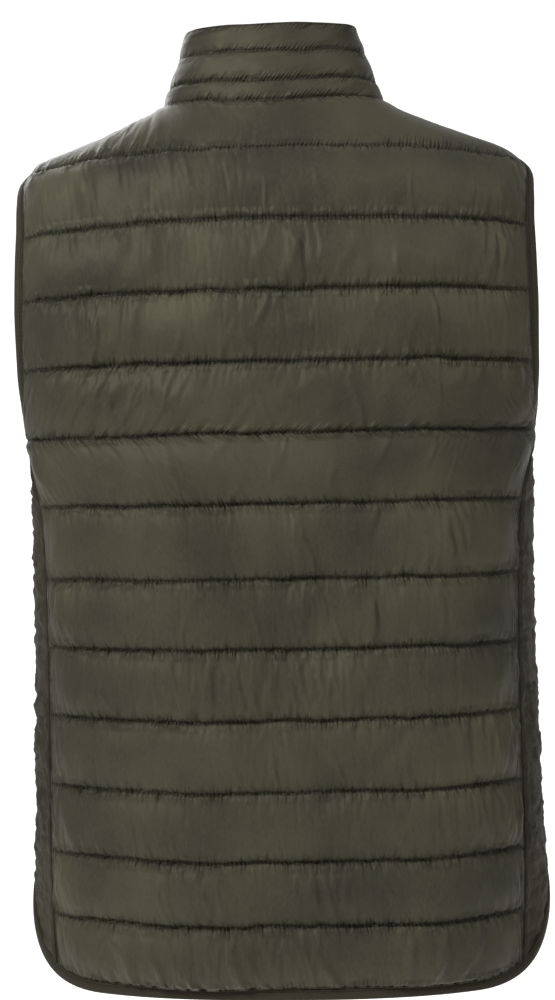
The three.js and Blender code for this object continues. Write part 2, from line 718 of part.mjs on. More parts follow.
const beside = zipSide(front, collar);
const path = beside.map(([edge]) => vector(0, edge.y, edge.z));
const pathLength = path.slice(1).reduce((sum, p, i) => sum + p.distanceTo(path[i]), 0);
addPair("zip_tape", zipTape(beside), TAPE);

const stopTop = STOP_ABOVE_HEM + STOP_LENGTH;
const stopPath = pathBetween(path, STOP_ABOVE_HEM, stopTop);
const stopSection = rectangle(-STOP_HALF_WIDTH, STOP_HALF_WIDTH, 0, STOP_THICKNESS);
add("zip_bottom_stop", loft(zipStations(stopPath), stopSection, false), METAL);

const sliderAt = pathLength - SLIDER.belowTop;
const chainTop = sliderAt - SLIDER.length / 2 - SEAM_GAP;
const chainPath = pathBetween(path, stopTop + SEAM_GAP, chainTop);
const chainSection = rectangle(-CHAIN_HALF_WIDTH, CHAIN_HALF_WIDTH, 0, CHAIN_THICKNESS);
add("zip_chain", loft(zipStations(chainPath), chainSection, false), PLASTIC);

// The slider and its pull share a frame that stands on the tapes, near the top of the collar.
const sliderPoint = along(path, sliderAt / pathLength);
const upZip = last(path).clone().sub(path[path.length - 2]).normalize();
const sliderFrame = new THREE.Group();
sliderFrame.position.copy(sliderPoint);
sliderFrame.rotation.x = Math.atan2(upZip.z, upZip.y);
vest.add(sliderFrame);
add("zip_slider", sliderGeometry(), METAL, sliderFrame);
add("zip_pull", pullGeometry(), METAL, sliderFrame);

export default vest;
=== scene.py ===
"""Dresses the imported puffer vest: quilted shell, gathered side panels, bindings, collar, zip and stitching.

Lengths in the tables and constants are millimetres, in the frame of the part: the origin is the middle
of the neck opening, the zip faces -Y, the wearer's left is +X and +Z is up.
"""

import math

import bmesh
import bpy
import numpy as np
from mathutils import Matrix, Vector, geometry


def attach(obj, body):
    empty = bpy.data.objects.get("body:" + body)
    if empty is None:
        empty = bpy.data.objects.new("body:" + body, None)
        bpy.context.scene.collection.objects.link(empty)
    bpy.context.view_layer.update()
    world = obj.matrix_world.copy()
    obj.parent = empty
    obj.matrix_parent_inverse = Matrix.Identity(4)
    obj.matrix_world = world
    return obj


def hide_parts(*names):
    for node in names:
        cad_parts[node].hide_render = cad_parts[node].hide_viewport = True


bl_info = {
    "name": "Puffer vest",
    "version": (1, 0, 0),
    "blender": (4, 5, 0),
    "location": "View3D > Sidebar > Puffer vest",
    "description": "Builds the cloth, stitching, zip and studio of a quilted puffer vest",
    "category": "Object",
}

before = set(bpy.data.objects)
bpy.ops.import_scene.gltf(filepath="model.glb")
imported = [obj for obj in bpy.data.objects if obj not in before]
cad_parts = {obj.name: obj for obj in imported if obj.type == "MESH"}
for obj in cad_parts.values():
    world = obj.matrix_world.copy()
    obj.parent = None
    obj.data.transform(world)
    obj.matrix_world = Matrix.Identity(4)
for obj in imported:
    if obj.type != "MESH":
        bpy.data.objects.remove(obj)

MM = 0.001
VEST_BODY = "vest"
PULL_BODY = "pull"

# Form and cut of the vest, as in the part
SEAM_GAP = 0.4
WALL = 3.0
LINES = (-47.5, -105, -159.5, -213, -266, -319, -375.5, -428.5, -482, -536, -588, -636.5)
LINE_COUNT = len(LINES)
UNDERARM_LINE = 5
FIRST_LINE_DROOP = 8.0
SECOND_LINE_DROOP = 4.0
NECK = {"half_width": 87.0, "back": 56.0, "front": 78.0}
COLLAR_TOP = {"half_width": 66.0, "back": 39.0, "front": 68.0}
COLLAR_TOP_Z = {"back": 57.0, "side": 61.0, "front": 14.0}
COLLAR_LINES = (0.0, 0.27, 0.66, 1.0)
FRONT_TOP_Z = -0.5
HEM_BACK_Z = -693.5
HEM_FRONT_Z = -678.0
HEM_TURN = 60.0
HEM_RISE = 55.0
HEM_RISE_REACH = 78.0
ARMHOLE_BAND = 10.0
HEM_BAND = 9.0
BAND_PROUD = 0.4
ZIP_HALF_OPENING = 6.2
ARC_SAMPLES = 48

FORM_COLUMNS = ("z", "half_width", "back", "front", "square")
FORM = (
    (6, 74, 48, 31, 2),
    (0, 87, 53, 37, 2),
    (-12, 107, 58, 47, 2),
    (-24, 135, 64, 56, 2),
    (-36, 165, 71, 64, 2.1),
    (-47, 192, 77, 71, 2.15),
    (-65, 207, 85, 82, 2.25),
    (-106, 217, 97, 98, 2.4),
    (-159, 220.5, 105, 110, 2.5),
    (-212, 214, 107, 117, 2.5),
    (-240, 206.5, 107, 118, 2.5),
    (-266, 202, 107, 119, 2.45),
    (-318, 200.5, 105, 118, 2.4),
    (-424, 200.5, 101, 114, 2.4),
    (-530, 202.5, 99, 111, 2.4),
    (-636, 206, 98, 110, 2.4),
    (-700, 207.5, 97, 109, 2.4),
)
EDGE_COLUMNS = ("z", "back", "front")
ARMHOLE = (
    (-47, 0.2, 0.2),
    (-52, 14, 15),
    (-60, 24, 26),
    (-76, 38, 43),
    (-106, 52, 59),
    (-159, 61, 70),
    (-212, 55, 65),
    (-240, 42, 50),
    (-256, 28, 33),
    (-266, 17, 18),
)
SIDE_SEAM = (
    (-266, 17, 18),
    (-280, 31, 31),
    (-300, 43, 42),
    (-330, 51, 50),
    (-424, 53, 52),
    (-583, 54, 53),
    (-700, 60, 58),
)


def mix(a, b, t):
    return a + (b - a) * t


def smooth(table, columns, column):
    """A smooth curve through one column of a table whose rows go down in z."""
    z = np.array([row[0] for row in table], float)
    value = np.array([row[columns.index(column)] for row in table], float)
    count = len(z)
    before = np.maximum(np.arange(count) - 1, 0)
    after = np.minimum(np.arange(count) + 1, count - 1)
    slope = (value[after] - value[before]) / (z[after] - z[before])

    def at(level):
        level = np.asarray(level, float)
        i = np.clip(np.searchsorted(-z, -level, side="left"), 1, count - 1)
        step = z[i] - z[i - 1]
        t = np.clip((level - z[i - 1]) / step, 0, 1)
        t2 = t * t
        t3 = t2 * t
        return (
            (2 * t3 - 3 * t2 + 1) * value[i - 1]
            + (t3 - 2 * t2 + t) * step * slope[i - 1]
            + (3 * t2 - 2 * t3) * value[i]
            + (t3 - t2) * step * slope[i]
        )

    return at


half_width_at = smooth(FORM, FORM_COLUMNS, "half_width")
square_at = smooth(FORM, FORM_COLUMNS, "square")
depth_at = {face: smooth(FORM, FORM_COLUMNS, face) for face in ("back", "front")}
armhole_at = {face: smooth(ARMHOLE, EDGE_COLUMNS, face) for face in ("back", "front")}
seam_at = {face: smooth(SIDE_SEAM, EDGE_COLUMNS, face) for face in ("back", "front")}
SIGN = {"back": 1.0, "front": -1.0}


def line_z(k):
    return float(LINES[k - 1])


FIRST_LINE, SECOND_LINE, THIRD_LINE = LINES[:3]


ARMHOLE_TOP = float(ARMHOLE[0][0])
UNDERARM = line_z(UNDERARM_LINE)


def outside(x, y, z):
    """0 on the form, negative inside it."""
    power = square_at(z)
    depth = np.where(y > 0, depth_at["back"](z), depth_at["front"](z))
    return (np.abs(x) / half_width_at(z)) ** power + (np.abs(y) / depth) ** power - 1


def form_normals(points):
    step = 0.05
    x, y, z = (points[..., k] for k in range(3))
    slope = np.stack(
        (
            outside(x + step, y, z) - outside(x - step, y, z),
            outside(x, y + step, z) - outside(x, y - step, z),
            outside(x, y, z + step) - outside(x, y, z - step),
        ),
        axis=-1,
    )
    return slope / np.linalg.norm(slope, axis=-1, keepdims=True)


def on_shoulders(x, y):
    """The points of the shoulders above places on the floor plan."""
    low = np.full(np.shape(x), FORM[-1][0] / 4.0)
    high = np.full(np.shape(x), float(FORM[0][0]))
    for _ in range(40):
        middle = (low + high) / 2
        over = outside(x, y, middle) > 0
        high = np.where(over, middle, high)
        low = np.where(over, low, middle)
    return np.stack((x, y, (low + high) / 2), axis=-1)


def on_side(y, z):
    power = square_at(z)
    depth = np.where(y > 0, depth_at["back"](z), depth_at["front"](z))
    x = half_width_at(z) * (1 - (np.abs(y) / depth) ** power) ** (1 / power)
    return np.stack((x, y, z), axis=-1)


def across(z, face, edge, inner, share):
    """Points at a share of the way along level sections, from a depth at the side to a distance from the middle."""
    z, edge, inner, share = np.broadcast_arrays(z, edge, inner, share)
    power = square_at(z)[..., None]
    wide = half_width_at(z)[..., None]
    deep = depth_at[face](z)[..., None]
    start = np.arcsin((edge[..., None] / deep) ** (power / 2))
    end = np.arccos((inner[..., None] / wide) ** (power / 2))
    turn = start + (end - start) * np.linspace(0, 1, ARC_SAMPLES + 1)
    x = wide * np.maximum(np.cos(turn), 0) ** (2 / power)
    y = deep * np.sin(turn) ** (2 / power)
    step = np.hypot(np.diff(x, axis=-1), np.diff(y, axis=-1))
    far = np.concatenate((np.zeros(z.shape + (1,)), np.cumsum(step, axis=-1)), axis=-1)
    goal = share[..., None] * far[..., -1:]
    i = np.clip((far < goal).sum(axis=-1, keepdims=True), 1, ARC_SAMPLES)

    def pick(values, k):
        return np.take_along_axis(values, k, axis=-1)[..., 0]

    before = pick(far, i - 1)
    t = (goal[..., 0] - before) / (pick(far, i) - before)
    return np.stack(
        (
            mix(pick(x, i - 1), pick(x, i), t),
            SIGN[face] * mix(pick(y, i - 1), pick(y, i), t),
            z,
        ),
        axis=-1,
    )


def edge_depth(z, face):
    """How far from the middle plane a panel's outer edge is, less half of the gap to its neighbour."""
    table = np.where(z >= UNDERARM, armhole_at[face](z), seam_at[face](z))
    return np.where(z > ARMHOLE_TOP, 0, np.maximum(table, 0)) + SEAM_GAP / 2


def hem_z(y):
    t = np.clip((y + HEM_TURN) / (2 * HEM_TURN), 0, 1)
    turn = t * t * (3 - 2 * t)
    reach = np.minimum(np.abs(y) / HEM_RISE_REACH, 1)
    rise = HEM_RISE * np.cos(math.pi / 2 * reach) ** 2
    return mix(HEM_FRONT_Z, HEM_BACK_Z, turn) + rise + HEM_BAND + SEAM_GAP


def settle(start, hem, place):
    """Points of rows whose last channel runs down to the hem, which depends on each point's own depth."""
    points = place(start)
    for _ in range(5):
        points = place(mix(start, hem_z(points[..., 1]), hem))
    return points


def neck_points(face, turn):
    x = NECK["half_width"] * np.cos(turn)
    y = SIGN[face] * NECK[face] * np.sin(turn)
    return on_shoulders(x, y)


NECK_ZIP_TURN = math.acos(ZIP_HALF_OPENING / NECK["half_width"])
NECK_BOTTOM = float(neck_points("front", np.array([NECK_ZIP_TURN]))[0, 2])


def neck_turn_at(z):
    z = np.asarray(z, float)
    low = np.zeros(z.shape)
    high = np.full(z.shape, NECK_ZIP_TURN)
    for _ in range(40):
        middle = (low + high) / 2
        under = neck_points("front", middle)[..., 2] < z
        high = np.where(under, middle, high)
        low = np.where(under, low, middle)
    return (low + high) / 2


# Fineness of the dressed pieces. Rows lie close together beside a stitched line, at these distances from it.
SEAM_STEPS = (0.0, 0.8, 1.4, 2.2, 3.4, 5.2, 7.6, 10.6, 14.0, 18.0, 22.2)
CHANNEL_HEIGHT = 53.0
_near = np.array(SEAM_STEPS) / CHANNEL_HEIGHT
CHANNEL_SHARES = np.concatenate((_near, [0.5], 1 - _near[:0:-1]))
CHANNEL_ROWS = len(CHANNEL_SHARES)
BACK_COLUMNS = 420
FRONT_COLUMNS = 190
SIDE_COLUMNS = 60
NECK_STEPS_HIGH = 20
NECK_STEPS_LOW = 16
INSIDE_EVERY = 11

# Filling
PUFF = 7.2
COLLAR_PUFF = 3.4
COLLAR_SIDE_LOSS = 0.75
COLLAR_GATHER = 0.55
PUFF_SHAPE = 0.5
SEAM_BAND = 1.25
# The puff rises from a panel's ends steeply at an armhole, and slowly beside a side seam or the zip
ARMHOLE_FADE = (30.0, 1.4)
SEAM_FADE = (26.0, 1.4)
YOKE_SHARE = 0.25
COLLAR_EDGE = 0.8


def half_rows(lines, first_rows=None):
    """Levels, hem shares and places in the channel for the rows from one stitched line to the hem."""
    level = []
    hem = []
    place = []
    for i in range(len(lines) - 1):
        level.append(mix(lines[i], lines[i + 1], CHANNEL_SHARES))
        hem.append(np.zeros(CHANNEL_ROWS))
        place.append(i + CHANNEL_SHARES)
    t = np.append(CHANNEL_SHARES, 1.0)
    level.append(np.full(CHANNEL_ROWS + 1, lines[-1]))
    hem.append(t)
    place.append(len(lines) - 1 + t)
    return np.concatenate(level), np.concatenate(hem), np.concatenate(place)


def back_half():
    """Points on the form for the left half of the back, from the side to the middle, and each row's channel."""
    lines = [line_z(k) for k in range(1, LINE_COUNT + 1)]
    level, hem, place = half_rows(lines)
    share = np.linspace(0, 1, BACK_COLUMNS // 2 + 1)[None, :]
    over_second = SECOND_LINE_DROOP * np.maximum(level - THIRD_LINE, 0) / (SECOND_LINE - THIRD_LINE)
    rise = (level - SECOND_LINE) / (FIRST_LINE - SECOND_LINE)
    droop = np.where(level <= SECOND_LINE, over_second, mix(SECOND_LINE_DROOP, FIRST_LINE_DROOP, rise))
    start = level[:, None] - droop[:, None] * (1 - share) ** 2
    body = settle(start, hem[:, None], lambda z: across(z, "back", edge_depth(z, "back"), 0.0, share))

    tip_x = float(half_width_at(ARMHOLE_TOP))
    half = BACK_COLUMNS // 4
    ridge = np.arange(half) / half
    neck = np.linspace(0, 1, BACK_COLUMNS // 2 + 1 - half) * math.pi / 2
    ridge_x = mix(tip_x, NECK["half_width"], ridge)
    top = np.concatenate(
        (on_shoulders(ridge_x, np.full(half, SEAM_GAP / 2)), neck_points("back", neck))
    )
    t = CHANNEL_SHARES[:, None]
    x = mix(top[None, :, 0], body[0][None, :, 0], t)
    y = mix(top[None, :, 1], body[0][None, :, 1], t)
    yoke = on_shoulders(x, y)
    points = np.concatenate((yoke, body))
    return points, np.concatenate((t[:, 0], place + 1))


def front_half():
    """Points on the form for the left front, from the side to the zip, and each row's channel."""
    first_turn = float(neck_turn_at(FIRST_LINE))
    top_turn = float(neck_turn_at(FRONT_TOP_Z))
    high_turn = np.linspace(top_turn, first_turn, NECK_STEPS_HIGH, endpoint=False)
    low_turn = np.linspace(first_turn, NECK_ZIP_TURN, NECK_STEPS_LOW, endpoint=False)
    high = neck_points("front", high_turn)[:, 2]
    low = neck_points("front", low_turn)[:, 2]
    rest = mix(NECK_BOTTOM, SECOND_LINE, CHANNEL_SHARES)
    upper = np.concatenate((high, low, rest))
    in_top = np.clip((high - FRONT_TOP_Z) / (FIRST_LINE - FRONT_TOP_Z), 0, 1)
    in_first = (np.concatenate((low, rest)) - FIRST_LINE) / (SECOND_LINE - FIRST_LINE)
    lines = [line_z(k) for k in range(2, LINE_COUNT + 1)]
    level, hem, place = half_rows(lines)
    level = np.concatenate((upper, level))
    hem = np.concatenate((np.zeros(len(upper)), hem))
    place = np.concatenate((in_top, 1 + in_first, place + 2))
    share = np.linspace(0, 1, FRONT_COLUMNS + 1)[None, :]

    def put(z):
        inner = np.full(z.shape, ZIP_HALF_OPENING)
        above = z[:, 0] > NECK_BOTTOM
        turn = neck_turn_at(z[above, 0])
        inner[above] = (NECK["half_width"] * np.cos(turn))[:, None]
        return across(z, "front", edge_depth(z, "front"), inner, share)

    start = np.repeat(level[:, None], FRONT_COLUMNS + 1, axis=1)
    return settle(start, hem[:, None], put), place, np.concatenate((high_turn, low_turn, [NECK_ZIP_TURN]))


def side_panel(back, front):
    """Points on the form for the left side panel, from the back seam to the front seam."""
    rows = (LINE_COUNT - UNDERARM_LINE + 1) * CHANNEL_ROWS + 1
    ends = [half[-rows:, 0, 2] for half in (back, front)]
    down = [(z - UNDERARM) / (z[-1] - UNDERARM) for z in ends]
    share = np.linspace(0, 1, SIDE_COLUMNS + 1)[None, :]

    def put(z):
        rear = edge_depth(z, "back") - SEAM_GAP
        fore = SEAM_GAP - edge_depth(z, "front")
        return on_side(mix(rear, fore, share), z)

    start = np.full((rows, SIDE_COLUMNS + 1), UNDERARM)
    return settle(start, mix(down[0][:, None], down[1][:, None], share), put)


def along(points, shares):
    """Points at shares of the length of a line of points."""
    step = np.linalg.norm(np.diff(points, axis=0), axis=1)
    far = np.concatenate(([0], np.cumsum(step)))
    goal = np.asarray(shares) * far[-1]
    return np.stack([np.interp(goal, far, points[:, k]) for k in range(3)], axis=-1)


def collar_half(stations):
    """Points of the left half of the collar's inside, from the zip to the middle of the back, foot to top."""
    zip_turn = math.acos(ZIP_HALF_OPENING / COLLAR_TOP["half_width"])
    turn = np.linspace(-zip_turn, math.pi / 2, ARC_SAMPLES + 1)
    fore = turn < 0
    deep = np.where(fore, COLLAR_TOP["front"], COLLAR_TOP["back"])
    end = np.where(fore, COLLAR_TOP_Z["front"], COLLAR_TOP_Z["back"])
    edge = np.stack(
        (
            COLLAR_TOP["half_width"] * np.cos(turn),
            deep * np.sin(turn),
            mix(COLLAR_TOP_Z["side"], end, np.sin(turn) ** 2),
        ),
        axis=-1,
    )
    step = np.linalg.norm(np.diff(stations, axis=0), axis=1)
    far = np.concatenate(([0], np.cumsum(step)))
    top = along(edge, far / far[-1])
    up = []
    place = []
    for k in range(len(COLLAR_LINES) - 1):
        up.append(mix(COLLAR_LINES[k], COLLAR_LINES[k + 1], CHANNEL_SHARES))
        place.append(k + CHANNEL_SHARES)
    up = np.concatenate(up + [[1.0]])
    place = np.concatenate(place + [[len(COLLAR_LINES) - 1.0]])
    points = stations[None] + (top - stations)[None] * up[:, None, None]
    points[:, 0, 0] = ZIP_HALF_OPENING
    return points, place


def grid_normals(points):
    down = np.gradient(points, axis=0)
    side = np.gradient(points, axis=1)
    normal = np.cross(side, down)
    return normal / np.linalg.norm(normal, axis=-1, keepdims=True)


def mirrored(points):
    return points * np.array((-1.0, 1.0, 1.0))


def whole(half):
    """Both halves of a grid whose last column is the middle."""
    return np.concatenate((half, mirrored(half[:, -2::-1])), axis=1)


def run_lengths(points, axis):
    step = np.linalg.norm(np.diff(points, axis=axis), axis=-1)
    zero = np.zeros_like(np.take(step, [0], axis=axis))
    return np.concatenate((zero, np.cumsum(step, axis=axis)), axis=axis)


class Ripples:
    """Smooth random values, the same each time the script is run."""

    def __init__(self, seed):
        self.random = np.random.default_rng(seed)

    def line(self, at, pitch, sharp=1.0):
        """Values from -1 to 1 along a line, with bumps about a pitch apart."""
        count = int(np.max(at) / pitch) + 6
        knots = np.cumsum(self.random.uniform(0.5, 1.5, count)) * pitch - 2 * pitch
        values = self.random.uniform(-1, 1, count)
        i = np.clip(np.searchsorted(knots, at), 1, count - 1)
        t = np.clip((at - knots[i - 1]) / (knots[i] - knots[i - 1]), 0, 1)
        t = t * t * (3 - 2 * t)
        value = mix(values[i - 1], values[i], t)
        return np.sign(value) * np.abs(value) ** sharp

    def field(self, u, v, pitch_u, pitch_v):
        """Values from -1 to 1 over a plane, smooth, with bumps about the two pitches apart."""
        columns = int(np.max(u) / pitch_u) + 4
        rows = int(np.max(v) / pitch_v) + 4
        values = self.random.uniform(-1, 1, (rows, columns))
        a = u / pitch_u + 1
        b = v / pitch_v + 1
        i = np.clip(np.floor(b).astype(int), 0, rows - 2)
        j = np.clip(np.floor(a).astype(int), 0, columns - 2)
        s = np.clip(a - j, 0, 1)
        t = np.clip(b - i, 0, 1)
        s = s * s * (3 - 2 * s)
        t = t * t * (3 - 2 * t)
        upper = mix(values[i, j], values[i, j + 1], s)
        lower = mix(values[i + 1, j], values[i + 1, j + 1], s)
        return mix(upper, lower, t)


# One channel of cloth, gathered on to its two stitched lines and filled, is worked out flat and then
# laid over the form. It is simulated at a hundredth of a unit to the millimetre, where it settles fast.
STRIP = {"length": 440.0, "height": CHANNEL_HEIGHT, "columns": 370, "rows": 40}
STRIP_SEEDS = (3, 8, 14, 21)
STRIP_FRAMES = 12
STRIP_SCALE = 0.01
STRIP_MARGIN = 16.0
CLOTH = {"mass": 0.02, "stiffness": 40.0, "bending": 0.3, "damping": 0.5, "pressure": 2.0}
GATHER = {"most": 0.085, "least": 0.004, "reach": 5.0, "patch": 18.0}
WEIGHT_STEPS = 20


def flat_strip():
    """Distances along and down a flat strip of cloth."""
    u = np.linspace(0, STRIP["length"], STRIP["columns"] + 1)
    v = np.linspace(0, STRIP["height"], STRIP["rows"] + 1)
    return np.meshgrid(u, v)


def strip_object(seed):
    """A strip of cloth held along its two long edges, with more cloth in it beside them."""
    ripples = Ripples(seed)
    u, v = flat_strip()
    height = STRIP["height"]
    from_edge = np.minimum(v, height - v)
    rough = 0.25 * ripples.field(u, v, 2.4, 4.0) * np.minimum(from_edge / 2, 1)
    rise = 1.2 * np.sqrt(np.sin(math.pi * v / height).clip(0)) + rough
    points = np.stack((u, v, rise), axis=-1).reshape(-1, 3) * STRIP_SCALE
    index = np.arange(u.size).reshape(u.shape)
    faces = np.stack((index[:-1, :-1], index[:-1, 1:], index[1:, 1:], index[1:, :-1]), axis=-1)
    mesh = bpy.data.meshes.new("strip")
    mesh.from_pydata(points.tolist(), [], faces.reshape(-1, 4).tolist())
    obj = bpy.data.objects.new("strip", mesh)
    bpy.context.scene.collection.objects.link(obj)
    held = obj.vertex_groups.new(name="held")
    held.add(index[from_edge < 0.01].tolist(), 1.0, "REPLACE")
    short_ends = ((u == 0) | (u == STRIP["length"])) & (from_edge >= 0.01)
    held.add(index[short_ends].tolist(), 0.6, "REPLACE")
    gather = np.zeros(u.shape)
    for edge in (v, height - v):
        amount = 0.65 + 0.35 * ripples.line(u, GATHER["patch"])
        gather += np.exp(-edge / GATHER["reach"]) * amount
    fold = np.maximum(ripples.line(u, 2 * GATHER["patch"]) - 0.35, 0)
    gather += 0.7 * fold * np.sin(math.pi * v / height)
    plain = obj.vertex_groups.new(name="plain")
    steps = np.round((1 - gather.clip(0, 1)) * WEIGHT_STEPS).astype(int)
    for step in range(WEIGHT_STEPS + 1):
        plain.add(index[steps == step].tolist(), step / WEIGHT_STEPS, "REPLACE")
    modifier = obj.modifiers.new("cloth", "CLOTH")
    cloth = modifier.settings
    cloth.mass = CLOTH["mass"]
    cloth.tension_stiffness = cloth.compression_stiffness = CLOTH["stiffness"]
    cloth.shear_stiffness = CLOTH["stiffness"] / 3
    cloth.bending_stiffness = CLOTH["bending"]
    cloth.tension_damping = cloth.compression_damping = cloth.shear_damping = CLOTH["damping"]
    cloth.bending_damping = CLOTH["damping"] / 5
    cloth.air_damping = CLOTH["damping"]
    cloth.quality = 6
    cloth.use_pressure = True
    cloth.uniform_pressure_force = CLOTH["pressure"]
    cloth.effector_weights.gravity = 0
    cloth.vertex_group_mass = held.name
    cloth.vertex_group_shrink = plain.name
    cloth.shrink_min = -GATHER["most"]
    cloth.shrink_max = -GATHER["least"]
    modifier.collision_settings.use_collision = False
    modifier.point_cache.frame_end = STRIP_FRAMES
    return obj


def settled_relief(obj):
    """How far the settled cloth stands off its own mean section, in millimetres."""
    settled = obj.evaluated_get(bpy.context.evaluated_depsgraph_get())
    points = np.empty(len(obj.data.vertices) * 3)
    settled.data.vertices.foreach_get("co", points)
    shape = (STRIP["rows"] + 1, STRIP["columns"] + 1)
    rise = points.reshape(*shape, 3)[..., 2] / STRIP_SCALE
    return rise - rise[:, 20:-20].mean(axis=1, keepdims=True)


def rippled_relief(seed):
    u, v = flat_strip()
    ripples = Ripples(seed)
    near = np.exp(-np.minimum(v, STRIP["height"] - v) / 9.0)
    return ripples.field(u, v, 3.0, 14.0) * (0.15 + 0.35 * near) * (near < 1)


_strips = []


def strips():
    """The reliefs of a few settled strips, worked out once."""
    if not _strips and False:
        _strips.extend(rippled_relief(seed) for seed in STRIP_SEEDS)
    if not _strips:
        scene = bpy.context.scene
        objects = [strip_object(seed) for seed in STRIP_SEEDS]
        for number in range(1, STRIP_FRAMES + 1):
            scene.frame_set(number)
        _strips.extend(settled_relief(obj) for obj in objects)
        for obj in objects:
            mesh = obj.data
            bpy.data.objects.remove(obj)
            bpy.data.meshes.remove(mesh)
        scene.frame_set(1)
    return _strips


def sampled(grid, u, v):
    """Values of a grid of numbers between its rows and columns."""
    rows, columns = grid.shape
    i = np.clip(np.floor(v).astype(int), 0, rows - 2)
    j = np.clip(np.floor(u).astype(int), 0, columns - 2)
    t = np.clip(v - i, 0, 1)
    s = np.clip(u - j, 0, 1)
    upper = mix(grid[i, j], grid[i, j + 1], s)
    lower = mix(grid[i + 1, j], grid[i + 1, j + 1], s)
    return mix(upper, lower, t)


def gathered(random, u, t, height):
    """The relief of one channel: a strip turned about and moved along at random."""
    strip = strips()[random.integers(len(STRIP_SEEDS))]
    strip = strip[:: random.choice((-1, 1)), :: random.choice((-1, 1))]
    span = STRIP["length"] - 2 * STRIP_MARGIN
    run = (u + random.uniform(0, 2 * span)) % (2 * span)
    run = STRIP_MARGIN + span - np.abs(run - span)
    down = np.broadcast_to(t[:, None], u.shape)
    at_u = run / STRIP["length"] * STRIP["columns"]
    return sampled(strip, at_u, down * STRIP["rows"]) * min(height / CHANNEL_HEIGHT, 1.0)


# Long creases in the back as (from x, z, to x, z, half width, depth), past the gathers at the stitching
CREASES = (
    (57, -61, 105, -106, 1.6, 0.5),
    (-1, -117, 6, -133, 3.2, 0.7),
    (16, -131, 4, -156, 2.6, 0.8),
    (8, -134, -6, -157, 2.2, 0.8),
    (-22, -120, -12, -150, 5.0, 0.9),
    (-66, -118, -72, -148, 6.5, 1.1),
    (-98, -122, -92, -152, 6.0, 0.7),
    (66, -196, 76, -214, 3.0, 1.0),
    (128, -190, 136, -212, 3.0, 0.9),
    (18, -196, 12, -212, 3.4, 0.9),
    (-60, -236, -66, -262, 3.4, 1.2),
    (-121, -232, -118, -260, 1.6, 0.6),
    (-20, -342, -28, -372, 1.7, 0.8),
    (-28, -378, -36, -400, 1.7, 0.6),
    (21, -394, 14, -414, 1.7, 0.6),
    (-66, -382, -72, -408, 1.9, 0.9),
    (-70, -404, -69, -424, 4.0, 1.6),
    (-114, -328, -116, -366, 1.8, 0.5),
    (-112, -372, -120, -410, 3.0, 0.6),
    (54, -432, 50, -458, 4.5, 1.1),
    (-12, -430, -18, -456, 1.7, 0.6),
    (-26, -492, -46, -526, 1.7, 0.8),
    (-30, -604, -38, -628, 1.7, 0.6),
    (92, -606, 98, -632, 2.4, 0.5),
    (104, -648, 90, -680, 4.0, 1.5),
    (128, -646, 112, -680, 5.0, 1.2),
    (-30, -664, -40, -690, 4.0, 1.8),
    (34, -672, 30, -690, 3.2, 1.2),
    (-94, -652, -82, -690, 4.5, 1.6),
    (-118, -648, -104, -684, 4.0, 1.6),
    (-146, -640, -128, -676, 5.0, 1.2),
    (70, -676, 64, -690, 3.0, 1.0),
)
# Wide upright folds of the back as (x, half width, height, sway, pitch of the sway)
FOLDS = (
    (62.0, 44.0, 5.8, 9.0, 70.0),
    (-118.0, 38.0, 5.2, 8.0, 55.0),
)
FOLDS_FROM = -120.0
FOLDS_FULL = -330.0
CREASE_FADE = 6.0
CREASES_A_CHANNEL = 11
# The gathers keep their whole height beside the stitching, and past it only where they are large
GATHER_RELIEF = 2.4
GATHER_REACH = 6.5
GATHER_QUIET = 0.1
GATHER_LOUD = 2.3
SEAM_REACH = 30.0
# The stitched lines wander up and down by this much, and the panels' ends in and out
WANDER = 0.8
END_WANDER = 0.5
SIDE_WANDER = 1.2


def creases(points, rows):
    """The relief of long creases, each a fold beside a hollow."""
    relief = np.zeros(points.shape[:2])
    x = points[..., 0]
    z = points[..., 2]
    for from_x, from_z, to_x, to_z, width, depth in rows:
        length = math.hypot(to_x - from_x, to_z - from_z)
        along_x = (to_x - from_x) / length
        along_z = (to_z - from_z) / length
        run = (x - from_x) * along_x + (z - from_z) * along_z
        off = (x - from_x) * along_z - (z - from_z) * along_x
        bow = 0.08 * length * np.sin(math.pi * np.clip(run / length, 0, 1))
        far = (off - bow) / width
        past = np.maximum(np.maximum(-run, run - length), 0) / CREASE_FADE
        relief += depth * (1 - 1.6 * far) * np.exp(-far * far) * np.exp(-past * past)
    return relief


def broad_folds(points, folds):
    """The relief of wide upright folds, which grow from the shoulder blades down."""
    x = points[..., 0]
    z = points[..., 2]
    grown = np.clip((FOLDS_FROM - z) / (FOLDS_FROM - FOLDS_FULL), 0, 1)
    relief = np.zeros(x.shape)
    for middle, width, height, sway, pitch in folds:
        off = x - middle - sway * np.sin(z / pitch)
        relief += height * np.exp(-((off / width) ** 2))
    return relief * grown


def small_creases(seed, side=0.0):
    """Short slanted creases that start near the stitched lines, on the whole width or on one side of it."""
    random = np.random.default_rng(seed)
    rows = []
    for top, bottom in zip(LINES[:-1], LINES[1:]):
        for _ in range(CREASES_A_CHANNEL if side == 0 else CREASES_A_CHANNEL // 2):
            x = random.uniform(-195, 195) if side == 0 else side * random.uniform(12, 195)
            length = random.uniform(8, 26)
            lean = random.choice((-1, 1)) * random.uniform(0.1, 1.1)
            start, turn = (top - 4, -1) if random.random() < 0.5 else (bottom + 4, 1)
            width = random.uniform(1.5, 3.4)
            depth = random.uniform(0.3, 1.0)
            rows.append((x, start, x + lean * length * 0.7, start + turn * length, width, depth))
    return tuple(rows)


